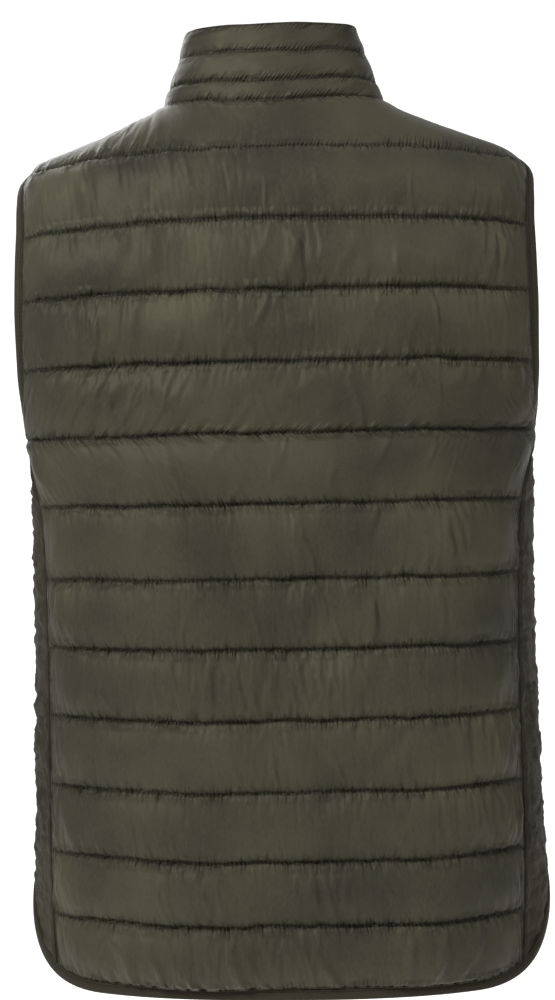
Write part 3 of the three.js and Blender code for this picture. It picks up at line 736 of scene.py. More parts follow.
def quilted(points, normals, place, puff, seed, first=1.0, edge=1.0, creased=(), gather=1.0, folds=()):
    """The raised outer face of a quilted wall, with the distances used by its material."""
    ripples = Ripples(seed)
    u = run_lengths(points, 1)
    v = run_lengths(points, 0)
    channel = np.minimum(np.floor(place), np.max(place) - 1).astype(int)
    t = place - channel
    heights = {k: float(np.mean(np.ptp(v[channel == k], axis=0))) for k in np.unique(channel)}
    relief = np.zeros(u.shape)
    seam = np.zeros(u.shape)
    for k, height in heights.items():
        rows = channel == k
        relief[rows] = gathered(ripples.random, u[rows], t[rows], height)
        seam[rows] = (np.minimum(t[rows], 1 - t[rows]) * height)[:, None]
    ends = np.minimum(u, u[:, -1:] - u)
    wavy = ends + END_WANDER * ripples.field(u * 0, v, 8.0, 8.0) * np.clip(ends / 4.0, 0, 1)
    low = np.clip(place - UNDERARM_LINE, 0, 1)[:, None]
    length, power = (mix(ARMHOLE_FADE[k], SEAM_FADE[k], low) for k in (0, 1))
    fade = 1 - (1 - np.clip(wavy / length, 0, 1)) ** power
    final = channel == np.max(channel)
    tall = np.array([heights[k] for k in channel])
    inside = np.clip((t * tall - SEAM_BAND) / (tall - 2 * SEAM_BAND), 0, 1)
    turn = np.where(final, edge, 1.0) * math.pi * inside
    share = np.where(channel == 0, first, 1.0) * np.abs(np.sin(turn)) ** PUFF_SHAPE
    share = share[:, None]
    uneven = 1 + 0.18 * ripples.field(u, v, 60.0, 26.0) + 0.13 * ripples.field(u + 0.5 * v, v, 24.0, 18.0)
    crown = share * fade * puff * uneven
    soft = ripples.field(u + 0.4 * v, v, 17.0, 13.0) + ripples.field(u * 1.2 + v[::-1], v, 26.0, 20.0)
    soft *= 0.75 * share * fade
    quiet = np.clip(GATHER_QUIET + np.abs(relief) / GATHER_LOUD, 0, 1)
    calm = mix(quiet, 1.0, np.exp(-seam / GATHER_REACH))
    relief *= GATHER_RELIEF * gather * calm * np.clip(ends / 5.0, 0, 1)
    relief[channel == 0] *= mix(0.4, 1.0, first)
    rise = WALL + crown + soft + relief + creases(points, creased) * np.clip(seam / 4.0, 0, 1)
    rise += broad_folds(points, folds) * np.clip(ends / 30.0, 0, 1)
    outer = points + normals * rise[..., None]
    held = np.clip(np.minimum(place, np.max(place) - place) / 0.5, 0, 1)[:, None] * np.clip(ends / 10.0, 0, 1)
    shift = ripples.field(u, v, 22.0, 60.0) + 0.6 * ripples.field(u, v, 9.0, 60.0)
    outer[..., 2] += WANDER * shift * held * np.exp(-seam / 12.0)
    # The seam distance, shortened towards the panel's ends, tells the material where to paint the furrow shade.
    return outer, {"u": u, "v": v, "seam": np.minimum(np.minimum(seam, 0.6 * ends), SEAM_REACH)}


def wall(name, outer, inner, facts, material, smooth_shade=True):
    """A closed wall from two grids of points: all of the outer one, and a coarser plain inner one."""
    rows, columns = outer.shape[:2]
    index = np.arange(rows * columns).reshape(rows, columns)
    a, b = index[:-1, :-1], index[1:, :-1]
    c, d = index[1:, 1:], index[:-1, 1:]
    outside_faces = np.stack((a, b, c, d), axis=-1).reshape(-1, 4)
    ring = np.concatenate((index[0, :-1], index[:-1, -1], index[-1, :0:-1], index[:0:-1, 0]))
    middle = index[INSIDE_EVERY:-INSIDE_EVERY:INSIDE_EVERY, INSIDE_EVERY:-INSIDE_EVERY:INSIDE_EVERY].ravel()
    chosen = np.concatenate((ring, middle))
    flat = [Vector((i % columns, -(i // columns))) for i in chosen.tolist()]
    loop = list(range(len(ring)))
    edges = [(k, (k + 1) % len(ring)) for k in loop]
    _, _, triangles, originals, _, _ = geometry.delaunay_2d_cdt(flat, edges, [], 1, 1e-6)
    first = rows * columns
    faces = outside_faces.tolist()
    back = [first + original[0] for original in originals]
    faces += [tuple(back[k] for k in reversed(triangle)) for triangle in triangles]
    for k in loop:
        n = (k + 1) % len(ring)
        faces.append((int(ring[k]), int(ring[n]), first + n, first + k))
    vertices = np.concatenate((outer.reshape(-1, 3), inner.reshape(-1, 3)[chosen]))
    mesh = bpy.data.meshes.new(name)
    mesh.from_pydata((vertices * MM).tolist(), [], faces)
    order = np.concatenate((np.arange(first), chosen))
    uv = np.stack((facts["u"].ravel(), facts["v"].ravel()), axis=-1)[order] * MM
    corners = np.empty(len(mesh.loops), np.int32)
    mesh.loops.foreach_get("vertex_index", corners)
    layer = mesh.uv_layers.new(name="cloth")
    layer.data.foreach_set("uv", uv[corners].ravel())
    values = np.concatenate((facts["seam"].ravel(), np.full(len(chosen), SEAM_REACH))) * MM
    attribute = mesh.attributes.new("seam", "FLOAT", "POINT")
    attribute.data.foreach_set("value", values.astype(np.float32))
    return finished(name, mesh, material, smooth_shade)


def finished(name, mesh, material, smooth_shade=True):
    """An object for a mesh in place, with its faces pointing out."""
    mesh.validate()
    obj = bpy.data.objects.new(name, mesh)
    bpy.context.scene.collection.objects.link(obj)
    mesh.materials.append(material)
    mesh.polygons.foreach_set("use_smooth", [smooth_shade] * len(mesh.polygons))
    if signed_volume(mesh) < 0:
        mesh.flip_normals()
    mesh.update()
    return obj


def signed_volume(mesh):
    mesh.calc_loop_triangles()
    points = np.empty(len(mesh.vertices) * 3)
    mesh.vertices.foreach_get("co", points)
    points = points.reshape(-1, 3)
    corners = np.empty(len(mesh.loop_triangles) * 3, np.int32)
    mesh.loop_triangles.foreach_get("vertices", corners)
    a, b, c = points[corners.reshape(-1, 3)].transpose(1, 0, 2)
    return float(np.einsum("ij,ij->i", a, np.cross(b, c)).sum())


def loft(name, stations, section, closed, material, uv_width=0.01):
    """A section drawn along stations, each a point, a direction out and a normal."""
    points, outs, normals = stations
    section = np.asarray(section, float)
    grid = (
        points[:, None]
        + outs[:, None] * section[None, :, :1]
        + normals[:, None] * section[None, :, 1:]
    )
    count, ring = grid.shape[:2]
    vertices = (grid.reshape(-1, 3) * MM).tolist()
    faces = []
    steps = count if closed else count - 1
    for s in range(steps):
        n = (s + 1) % count
        for k in range(ring):
            m = (k + 1) % ring
            faces.append((s * ring + k, n * ring + k, n * ring + m, s * ring + m))
    if not closed:
        faces.append(tuple(range(ring)))
        faces.append(tuple((count - 1) * ring + k for k in reversed(range(ring))))
    mesh = bpy.data.meshes.new(name)
    mesh.from_pydata(vertices, [], faces)
    around = np.linalg.norm(np.diff(section, axis=0, append=section[:1]), axis=1)
    across_uv = np.concatenate(([0], np.cumsum(around)[:-1]))
    length = run_lengths(points[:, None], 0)[:, 0]
    uv = np.stack(np.broadcast_arrays(length[:, None], across_uv[None]), axis=-1).reshape(-1, 2) * MM
    corners = np.empty(len(mesh.loops), np.int32)
    mesh.loops.foreach_get("vertex_index", corners)
    layer = mesh.uv_layers.new(name="cloth")
    layer.data.foreach_set("uv", uv[corners].ravel())
    return finished(name, mesh, material)


def edge_stations(edge, closed, towards):
    """Stations along an edge, whose direction out is square to it in the cloth's own plane."""
    if closed:
        tangent = np.roll(edge, -1, axis=0) - np.roll(edge, 1, axis=0)
    else:
        tangent = np.gradient(edge, axis=0)
    normal = form_normals(edge)
    out = np.cross(tangent, normal)
    out /= np.linalg.norm(out, axis=1, keepdims=True)
    flip = np.einsum("ij,ij->i", out, towards(edge)) < 0
    out[flip] *= -1
    return edge, out, normal


def band_section(width):
    """A folded tape, rounded over its outer edge, with a stitched groove near the panel."""
    low = -BAND_PROUD
    high = WALL + BAND_PROUD
    groove = 0.45
    return (
        (SEAM_GAP, low),
        (width - 1.6, low),
        (width - 0.6, low + 0.4),
        (width - 0.1, low + 1.2),
        (width, (low + high) / 2),
        (width - 0.1, high - 1.2),
        (width - 0.6, high - 0.4),
        (width - 1.6, high),
        (width * 0.55, high + 0.15),
        (SEAM_GAP + 2.6, high),
        (SEAM_GAP + 1.7, high - groove),
        (SEAM_GAP + 0.9, high),
        (SEAM_GAP, high - 0.2),
    )


def rgb(text):
    """A linear colour from its sRGB hex."""
    parts = [int(text[i : i + 2], 16) / 255 for i in (1, 3, 5)]
    linear = [p / 12.92 if p <= 0.04045 else ((p + 0.055) / 1.055) ** 2.4 for p in parts]
    return (*linear, 1.0)


def add(tree, kind, inputs=None, **settings):
    """A node with its settings, and its inputs as constant values or links from other nodes."""
    node = tree.nodes.new("ShaderNode" + kind)
    for key, value in settings.items():
        setattr(node, key, value)
    for key, value in (inputs or {}).items():
        socket = node.inputs[key]
        if isinstance(value, bpy.types.NodeSocket):
            tree.links.new(value, socket)
        else:
            socket.default_value = value
    return node


def math_node(tree, operation, *values):
    return add(tree, "Math", dict(enumerate(values)), operation=operation).outputs[0]


def material(name, principled):
    made = bpy.data.materials.new(name)
    made.use_nodes = True
    tree = made.node_tree
    tree.nodes.clear()
    output = add(tree, "OutputMaterial")
    shader = add(tree, "BsdfPrincipled", principled(tree))
    tree.links.new(shader.outputs[0], output.inputs[0])
    return made


def stretched(tree, vector, scale):
    return add(tree, "Mapping", {"Vector": vector, "Scale": scale}).outputs[0]


def cloth_look(colour, dark, light, rough, weave_mm, sheen, crumple_mm=7.0, crumple=0.12, ticks=None):
    """A woven cloth: colour drifting between two shades, partly random tone and partly painted sheen, a fine weave,
    small crumples, and at its stitched lines painted shade in the furrow, with ticks of gathered cloth on both sides in
    bump and in painted shade."""

    def build(tree):
        place = add(tree, "TexCoord").outputs["Object"]
        uv = add(tree, "UVMap", uv_map="cloth").outputs[0]
        # Colour drift: partly random tone of the cloth and partly painted sheen, in broad patches about 100 mm across,
        # lighter and darker as the satin's sheen would make them.
        tone_and_sheen_drift = add(
            tree, "TexNoise", {"Vector": stretched(tree, place, (1.2, 1.0, 0.9)), "Scale": 10.0, "Detail": 3.0}
        ).outputs["Fac"]
        fibre = add(
            tree,
            "TexNoise",
            {"Vector": stretched(tree, uv, (1.0, 0.25, 1.0)), "Scale": 900.0, "Detail": 2.0},
        ).outputs["Fac"]
        shade = math_node(tree, "ADD", math_node(tree, "MULTIPLY", tone_and_sheen_drift, 0.7), math_node(tree, "MULTIPLY", fibre, 0.3))
        turns = 1000.0 / weave_mm * math.tau
        split = add(tree, "SeparateXYZ", {"Vector": uv})
        warp = math_node(tree, "SINE", math_node(tree, "MULTIPLY", split.outputs[0], turns))
        weft = math_node(tree, "SINE", math_node(tree, "MULTIPLY", split.outputs[1], turns))
        weave = math_node(tree, "MULTIPLY", warp, weft)
        crumples = add(
            tree,
            "TexNoise",
            {"Vector": uv, "Scale": 1000.0 / crumple_mm, "Detail": 4.0, "Roughness": 0.55, "Distortion": 0.6},
        ).outputs["Fac"]
        height = math_node(tree, "MULTIPLY", weave, 0.02)
        height = math_node(tree, "MULTIPLY_ADD", crumples, crumple, height)
        if ticks is not None:
            # Painted shade: the cloth is darkened along a ragged line about 1 mm from each stitched line, on both
            # sides, where the furrow's edges lie in shadow.
            seam = add(tree, "Attribute", attribute_name="seam").outputs["Fac"]
            ragged = add(tree, "TexNoise", {"Vector": uv, "Scale": 330.0, "Detail": 2.0}).outputs["Fac"]
            ragged = math_node(tree, "MULTIPLY_ADD", ragged, 0.001, -0.0014)
            from_furrow = math_node(tree, "ABSOLUTE", math_node(tree, "ADD", seam, ragged))
            clear = add(
                tree,
                "MapRange",
                {"Value": from_furrow, "From Min": 0.0001, "From Max": 0.001, "To Min": 0.58},
                interpolation_type="SMOOTHSTEP",
            ).outputs[0]
            shade = math_node(tree, "MULTIPLY", shade, clear)
            near = add(
                tree,
                "MapRange",
                {"Value": seam, "From Min": 0.0, "From Max": 0.0085, "To Min": 1.0, "To Max": 0.0},
                interpolation_type="SMOOTHSTEP",
            ).outputs[0]
            wave = add(
                tree,
                "TexWave",
                {
                    "Vector": stretched(tree, uv, (1.0, 0.12, 1.0)),
                    "Scale": math.tau / 20 / 0.0031,
                    "Distortion": 3.0,
                    "Detail": 2.0,
                    "Detail Scale": 1.4,
                },
            ).outputs["Fac"]
            pucker = add(
                tree,
                "TexNoise",
                {"Vector": stretched(tree, uv, (1.0, 0.22, 1.0)), "Scale": 310.0, "Detail": 2.0, "Distortion": 0.3},
            ).outputs["Fac"]
            pucker = math_node(tree, "MULTIPLY_ADD", wave, 0.3, math_node(tree, "MULTIPLY", pucker, 1.8))
            patchy = add(tree, "TexNoise", {"Vector": uv, "Scale": 60.0, "Detail": 3.0}).outputs["Fac"]
            patchy = add(
                tree, "MapRange", {"Value": patchy, "From Min": 0.36, "From Max": 0.64, "To Min": 0.1}
            ).outputs[0]
            # Painted shade: short dark ticks at the stitch pitch, within about 4 mm of each stitched line, for the
            # shadows between gathered puckers.
            if ticks:
                beside = add(
                    tree,
                    "MapRange",
                    {"Value": seam, "From Min": 0.0015, "From Max": 0.0038, "To Min": 0.5, "To Max": 0.0},
                ).outputs[0]
                painted_tick_shade = math_node(tree, "MULTIPLY", math_node(tree, "POWER", wave, 3.0), beside)
                painted_tick_shade = math_node(tree, "MULTIPLY", painted_tick_shade, math_node(tree, "MULTIPLY_ADD", patchy, 0.7, 0.3))
                shade = math_node(tree, "MULTIPLY", shade, math_node(tree, "SUBTRACT", 1.0, painted_tick_shade))
            ridge = math_node(tree, "MULTIPLY", math_node(tree, "MULTIPLY", pucker, patchy), near)
            height = math_node(tree, "MULTIPLY_ADD", ridge, ticks, height)
        # The ramp's two outer shades carry the painted sheen of the drift; its darkest stop is the painted shade of the
        # furrow.
        ramp = add(tree, "ValToRGB", {"Fac": shade})
        ramp.color_ramp.elements[0].position = 0.37
        ramp.color_ramp.elements[0].color = rgb(dark)
        ramp.color_ramp.elements[1].position = 0.63
        ramp.color_ramp.elements[1].color = rgb(light)
        middle = ramp.color_ramp.elements.new(0.5)
        middle.color = rgb(colour)
        # Darkest stop of the ramp: the colour of the painted furrow shade.
        painted_furrow_shade = ramp.color_ramp.elements.new(0.0)
        painted_furrow_shade.color = rgb("#16150f")
        bump = add(tree, "Bump", {"Height": height, "Distance": 0.001, "Strength": 1.0})
        roughness = add(tree, "MapRange", {"Value": tone_and_sheen_drift, "To Min": rough - 0.05, "To Max": rough + 0.06})
        return {
            "Base Color": ramp.outputs[0],
            "Roughness": roughness.outputs[0],
            "Normal": bump.outputs[0],
            "Sheen Weight": sheen,
            "Sheen Roughness": 0.5,
            "Sheen Tint": rgb("#8a8468"),
            "Specular IOR Level": 0.25,
            "Specular Tint": rgb("#cfc8a4"),
        }

    return build


def hard_look(colour, rough, metallic, grain_mm=0.6):
    def build(tree):
        place = add(tree, "TexCoord").outputs["Object"]
        grain = add(tree, "TexNoise", {"Vector": place, "Scale": 1000.0 / grain_mm, "Detail": 3.0}).outputs["Fac"]
        wear = add(tree, "TexNoise", {"Vector": place, "Scale": 260.0, "Detail": 2.0}).outputs["Fac"]
        bump = add(tree, "Bump", {"Height": grain, "Distance": 0.00003, "Strength": 0.5})
        roughness = add(tree, "MapRange", {"Value": wear, "To Min": rough - 0.08, "To Max": rough + 0.12})
        return {
            "Base Color": rgb(colour),
            "Roughness": roughness.outputs[0],
            "Metallic": metallic,
            "Normal": bump.outputs[0],
        }

    return build


LOOKS = {
    "satin": cloth_look("#403e33", "#35342d", "#484638", 0.46, 0.5, 0.02, ticks=3.2),
    "side_cloth": cloth_look("#312f27", "#27251f", "#3a382d", 0.7, 0.7, 0.08, 5.0, 1.5, ticks=0.0),
    "folded_tape": cloth_look("#302e25", "#2b2921", "#35332a", 0.68, 0.6, 0.08, 3.0, 0.18),
    "woven_tape": cloth_look("#2f2e27", "#2a2923", "#35342c", 0.8, 0.8, 0.1, 3.0, 0.1),
    "thread": cloth_look("#1d1c15", "#181710", "#24231b", 0.7, 0.3, 0.1, 2.0, 0.1),
    "moulded_teeth": hard_look("#26251f", 0.45, 0.0),
    "dark_metal": hard_look("#3a3a36", 0.38, 0.85),
}


def look(name):
    found = bpy.data.materials.get(name)
    return found or material(name, LOOKS[name])


STITCH_PITCH = 3.1
STITCH_LENGTH = 2.2
STITCH_RADIUS = 0.28
STITCH_SIDES = 5
ZIP_STITCH_COLUMN = 4


def stitches(name, runs, pitch=STITCH_PITCH):
    """Rows of short thread stitches: each run is a line of points on the cloth and its normals."""
    rings = ((-0.5, 0.35, -0.35), (-0.25, 1.0, 0.15), (0.25, 1.0, 0.15), (0.5, 0.35, -0.35))
    angles = np.arange(STITCH_SIDES) * math.tau / STITCH_SIDES
    vertices = []
    faces = []
    for points, normals in runs:
        length = run_lengths(points[:, None], 0)[-1, 0]
        count = int(length / pitch)
        share = (np.arange(count) + 0.5) / count
        centre = along(points, share)
        normal = along_values(points, normals, share)
        tangent = along_values(points, np.gradient(points, axis=0), share)
        tangent /= np.linalg.norm(tangent, axis=1, keepdims=True)
        normal /= np.linalg.norm(normal, axis=1, keepdims=True)
        side = np.cross(normal, tangent)
        rows = []
        for shift, size, lift in rings:
            middle = centre + tangent * shift * STITCH_LENGTH + normal * lift
            ring = (
                middle[:, None]
                + side[:, None] * (np.cos(angles) * STITCH_RADIUS * size)[None, :, None]
                + normal[:, None] * (np.sin(angles) * STITCH_RADIUS * size)[None, :, None]
            )
            rows.append(ring)
        block = np.stack(rows, axis=1).reshape(count, -1, 3)
        start = sum(len(v) for v in vertices)
        vertices.append(block.reshape(-1, 3))
        base = start + np.arange(count)[:, None] * block.shape[1]
        pattern = []
        for r in range(len(rings) - 1):
            for k in range(STITCH_SIDES):
                n = (k + 1) % STITCH_SIDES
                at = r * STITCH_SIDES
                pattern.append((at + k, at + n, at + STITCH_SIDES + n, at + STITCH_SIDES + k))
        for face in pattern:
            faces += (base + np.array(face)[None]).tolist()
        last = (len(rings) - 1) * STITCH_SIDES
        faces += (base + np.arange(STITCH_SIDES)[::-1][None]).tolist()
        faces += (base + last + np.arange(STITCH_SIDES)[None]).tolist()
    mesh = bpy.data.meshes.new(name)
    mesh.from_pydata((np.concatenate(vertices) * MM).tolist(), [], faces)
    flat_uv(mesh)
    return finished(name, mesh, look("thread"))


def along_values(points, values, shares):
    step = np.linalg.norm(np.diff(points, axis=0), axis=1)
    far = np.concatenate(([0], np.cumsum(step)))
    goal = np.asarray(shares) * far[-1]
    return np.stack([np.interp(goal, far, values[:, k]) for k in range(3)], axis=-1)


def flat_uv(mesh):
    """A UV map in metres for small pieces, from their own place."""
    points = np.empty(len(mesh.vertices) * 3)
    mesh.vertices.foreach_get("co", points)
    points = points.reshape(-1, 3)
    corners = np.empty(len(mesh.loops), np.int32)
    mesh.loops.foreach_get("vertex_index", corners)
    layer = mesh.uv_layers.new(name="cloth")
    layer.data.foreach_set("uv", points[corners][:, (0, 2)].ravel())


def settle_piece(obj, body, slot, *nodes):
    """Ties a finished piece to the part."""
    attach(obj, body)
    if nodes:
        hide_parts(*nodes)
    return obj


class Cut:
    """The grids that the pieces share, worked out once."""

    def __init__(self):
        self.back, self.back_place = back_half()
        self.front, self.front_place, turns = front_half()
        self.side = side_panel(self.back, self.front)
        in_front = neck_points("front", turns[::-1])
        quarter = BACK_COLUMNS // 4
        self.stations = np.concatenate((in_front, self.back[0, quarter:]))
        self.collar, self.collar_place = collar_half(self.stations)


_cut = []


def cut():
    if not _cut:
        _cut.append(Cut())
    return _cut[0]


def seam_runs(outer, normals, place, lines, sink=0.05):
    """The lines of a quilted face that are stitched, as runs for the thread."""
    runs = []
    for k in lines:
        row = int(np.argmin(np.abs(place - k)))
        runs.append((outer[row] - normals[row] * sink, normals[row]))
    return runs


def make_back(settings):
    shape = cut()
    points = whole(shape.back)
    normals = form_normals(points)
    creased = CREASES + small_creases(5)
    outer, facts = quilted(
        points, normals, shape.back_place, settings.puff, 11, first=YOKE_SHARE, creased=creased, folds=FOLDS
    )
    obj = wall("back_shell", outer, points, facts, look("satin"))
    settle_piece(obj, VEST_BODY, "shell", "back")
    runs = seam_runs(outer, normals, shape.back_place, range(1, LINE_COUNT + 1))
    settle_piece(stitches("back_stitching", runs), VEST_BODY, "shell")


def make_front(settings, side, seed):
    shape = cut()
    points = shape.front if side == "left" else mirrored(shape.front)
    normals = form_normals(points)
    creased = small_creases(seed, 1.0 if side == "left" else -1.0)
    outer, facts = quilted(
        points, normals, shape.front_place, settings.puff, seed, first=YOKE_SHARE, creased=creased
    )
    obj = wall("front_shell_" + side, outer, points, facts, look("satin"))
    settle_piece(obj, VEST_BODY, "shell", "front_" + side)
    runs = seam_runs(outer, normals, shape.front_place, range(1, LINE_COUNT + 1))
    beside = -1 - ZIP_STITCH_COLUMN
    below = points[:, -1, 2] <= NECK_BOTTOM
    runs.append((outer[below, beside], normals[below, beside]))
    settle_piece(stitches("front_stitching_" + side, runs), VEST_BODY, "shell")


def make_collar(settings):
    shape = cut()
    points = whole(shape.collar)
    normals = -grid_normals(points)
    normals *= np.sign(np.sum(normals[0, 0] * np.array((0.0, -1.0, 0.0))))
    puff = settings.collar_puff * (1 - COLLAR_SIDE_LOSS * normals[..., 0] ** 2)
    outer, facts = quilted(
        points, normals, shape.collar_place, puff, 31, edge=COLLAR_EDGE, gather=COLLAR_GATHER
    )
    obj = wall("collar_shell", outer, points, facts, look("satin"))
    settle_piece(obj, VEST_BODY, "shell", "collar")
    runs = seam_runs(outer, normals, shape.collar_place, (1, 2))
    settle_piece(stitches("collar_stitching", runs), VEST_BODY, "shell")


WELT_OFF = 4.6
WELT_WIDTH = 2.2
WELT_RISE = 2.2


def make_side(side, seed):
    shape = cut()
    points = shape.side if side == "left" else mirrored(shape.side)
    normals = form_normals(points)
    ripples = Ripples(seed)
    u = run_lengths(points, 1)
    v = run_lengths(points, 0)
    ends = np.minimum(u, u[:, -1:] - u)
    fade = np.clip(ends / 6.0, 0, 1)
    sway = ripples.field(u * 0, v, 8.0, 13.0) + 0.6 * ripples.field(u * 0, v, 8.0, 5.5)
    wavy = ends + SIDE_WANDER * sway * np.clip(ends / 3.0, 0, 1)
    slanted = u + 0.5 * v - np.min(u + 0.5 * v)
    crumple = 1.2 * ripples.field(u, v, 15.0, 6.0) + 0.9 * ripples.field(slanted, v, 8.0, 4.0)
    crumple -= 1.1 * np.abs(ripples.field(slanted, v, 12.0, 8.0))
    swell = 0.9 * ripples.field(u, v, 40.0, 60.0)
    stands = 1 + 0.35 * ripples.field(u, v, 60.0, 9.0)
    welt = WELT_RISE * stands * np.exp(-(((wavy - WELT_OFF) / WELT_WIDTH) ** 2))
    rise = WALL - 0.4 + (crumple + swell) * fade + welt
    outer = points + normals * rise[..., None]
    # The distance from the panel's ends tells the material where to paint the furrow shade beside the side seams.
    facts = {"u": u, "v": v, "seam": np.minimum(wavy, SEAM_REACH)}
    obj = wall("side_panel_" + side, outer, points, facts, look("side_cloth"))
    settle_piece(obj, VEST_BODY, "side_fabric", "side_" + side)


def armhole_edge():
    shape = cut()
    rows = (LINE_COUNT - UNDERARM_LINE + 1) * CHANNEL_ROWS + 1
    rear = shape.back[: shape.back.shape[0] - rows + 1, 0]
    first = int(np.argmin(np.abs(shape.front_place - 1)))
    fore = shape.front[first : shape.front.shape[0] - rows, 0][::-1]
    under = shape.side[0, 1:]
    return np.concatenate((rear, under, fore))


def make_armhole(side):
    edge = armhole_edge()
    if side == "right":
        edge = mirrored(edge)
    middle = np.array((edge[0, 0], 0.0, (ARMHOLE_TOP + UNDERARM) / 2))
    stations = edge_stations(edge, True, lambda p: middle - p)
    name = "armhole_tape_" + side
    obj = loft(name, stations, band_section(ARMHOLE_BAND), True, look("folded_tape"))
    settle_piece(obj, VEST_BODY, "binding", "armhole_binding_" + side)
    run = band_run(stations, True)
    settle_piece(stitches("armhole_stitching_" + side, [run]), VEST_BODY, "binding")


def band_run(stations, closed):
    """Where the thread runs on a binding."""
    points, outs, normals = stations
    line = points + outs * (SEAM_GAP + 1.7) + normals * (WALL + BAND_PROUD - 0.25)
    if closed:
        line = np.concatenate((line, line[:1]))
        normals = np.concatenate((normals, normals[:1]))
    return line, normals


def make_hem():
    shape = cut()
    half = np.concatenate((shape.front[-1, ::-1], shape.side[-1, -2:0:-1], shape.back[-1]))
    edge = np.concatenate((half, mirrored(half[-2::-1])))
    down = np.array((0.0, 0.0, -1.0))
    stations = edge_stations(edge, False, lambda p: np.broadcast_to(down, p.shape))
    obj = loft("hem_tape", stations, band_section(HEM_BAND), False, look("folded_tape"))
    settle_piece(obj, VEST_BODY, "binding", "hem_binding")
    run = band_run(stations, False)
    settle_piece(stitches("hem_stitching", [run]), VEST_BODY, "binding")


# The zip: how far behind the walls its tapes lie, and the sizes of its teeth
TAPE_BEHIND = 0.6
TAPE_THICKNESS = 1.0
TAPE_COLUMNS = (0.2, 2.2, 4.2, ZIP_HALF_OPENING, 8.0, 10.0, 12.0, 14.0)
TOOTH_PITCH = 2.5
TOOTH = {"half_length": 0.56, "reach": 0.9, "half_width": 2.9, "height": 2.2, "chamfer": 0.35}


def tape_grid():
    """Points on the insides of the left walls beside the zip, from the hem up, from the middle outwards."""
    shape = cut()
    body = shape.front[shape.front[:, -1, 2] <= NECK_BOTTOM + 0.01][::-1, ::-1]
    rows = []
    for row in [*body, *shape.collar[1:]]:
        row = row[: int(np.argmax(row[:, 0])) + 1]
        x = np.maximum(TAPE_COLUMNS, ZIP_HALF_OPENING)
        y, z = (np.interp(x, row[:, 0], row[:, k]) for k in (1, 2))
        rows.append(np.stack((TAPE_COLUMNS, y, z), axis=-1))
    return np.array(rows)


def make_tape(side):
    points = tape_grid()
    normals = grid_normals(points)
    normals *= -np.sign(normals[:1, :1, 1:2])
    if side == "right":
        points = mirrored(points)
        normals = mirrored(normals)
    u = run_lengths(points, 1)
    v = run_lengths(points, 0)
    facts = {"u": u, "v": v, "seam": np.full(u.shape, SEAM_REACH)}
    front = points - normals * TAPE_BEHIND
    rear = front - normals * TAPE_THICKNESS
    obj = wall("zip_tape_woven_" + side, front, rear, facts, look("woven_tape"))
    settle_piece(obj, VEST_BODY, "zip_tape", "zip_tape_" + side)


def node_heights(name):
    """The lowest and highest point of one of the part's nodes, in millimetres."""
    z = [v.co.z / MM for v in bpy.data.objects[name].data.vertices]
    return min(z), max(z)


def make_teeth():
    path = tape_grid()[:, 0] * np.array((0.0, 1.0, 1.0))
    low, high = node_heights("zip_chain")
    path = path[(path[:, 2] > low) & (path[:, 2] < high)]
    length = run_lengths(path[:, None], 0)[-1, 0]
    count = int(length / (TOOTH_PITCH / 2))
    share = (np.arange(count) + 0.5) / count
    centre = along(path, share)
    up = along_values(path, np.gradient(path, axis=0), share)
    up /= np.linalg.norm(up, axis=1, keepdims=True)
    out = np.stack((np.zeros(count), -up[:, 2], up[:, 1]), axis=-1)
    side = np.where(np.arange(count) % 2 == 0, 1.0, -1.0)
    cut_off = TOOTH["chamfer"]
    left, right = -TOOTH["reach"], TOOTH["half_width"]
    bottom, top = -TAPE_BEHIND, TOOTH["height"]
    ring = np.array((
        (left, bottom),
        (right, bottom),
        (right, top - 2 * cut_off),
        (right - cut_off, top - cut_off),
        (right - 2 * cut_off, top),
        (left + 2 * cut_off, top),
        (left + cut_off, top - cut_off),
        (left, top - 2 * cut_off),
    ))
    middle = ring.mean(axis=0)
    half = TOOTH["half_length"]
    levels = ((-half, 0.82), (cut_off - half, 1.0), (half - cut_off, 1.0), (half, 0.82))
    blocks = []
    for shift, scale in levels:
        shown = middle + (ring - middle) * scale
        blocks.append(
            centre[:, None]
            + up[:, None] * shift
            + out[:, None] * shown[None, :, 1:]
            + (side[:, None] * shown[None, :, 0])[..., None] * np.array((1.0, 0.0, 0.0))
        )
    points = np.stack(blocks, axis=1).reshape(-1, 3)
    size = len(ring)
    pattern = []
    for level in range(len(levels) - 1):
        for k in range(size):
            n = (k + 1) % size
            at = level * size
            pattern.append((at + k, at + n, at + size + n, at + size + k))
    pattern.append(tuple(reversed(range(size))))
    pattern.append(tuple(range(3 * size, 4 * size)))
    faces = []
    for tooth in range(count):
        start = tooth * size * len(levels)
        for face in pattern:
            turned = face if side[tooth] > 0 else face[::-1]
            faces.append(tuple(start + corner for corner in turned))
    mesh = bpy.data.meshes.new("zip_teeth_moulded")
    mesh.from_pydata((points * MM).tolist(), [], faces)
    flat_uv(mesh)
    obj = finished("zip_teeth_moulded", mesh, look("moulded_teeth"), smooth_shade=False)
    settle_piece(obj, VEST_BODY, "zip_teeth", "zip_chain")


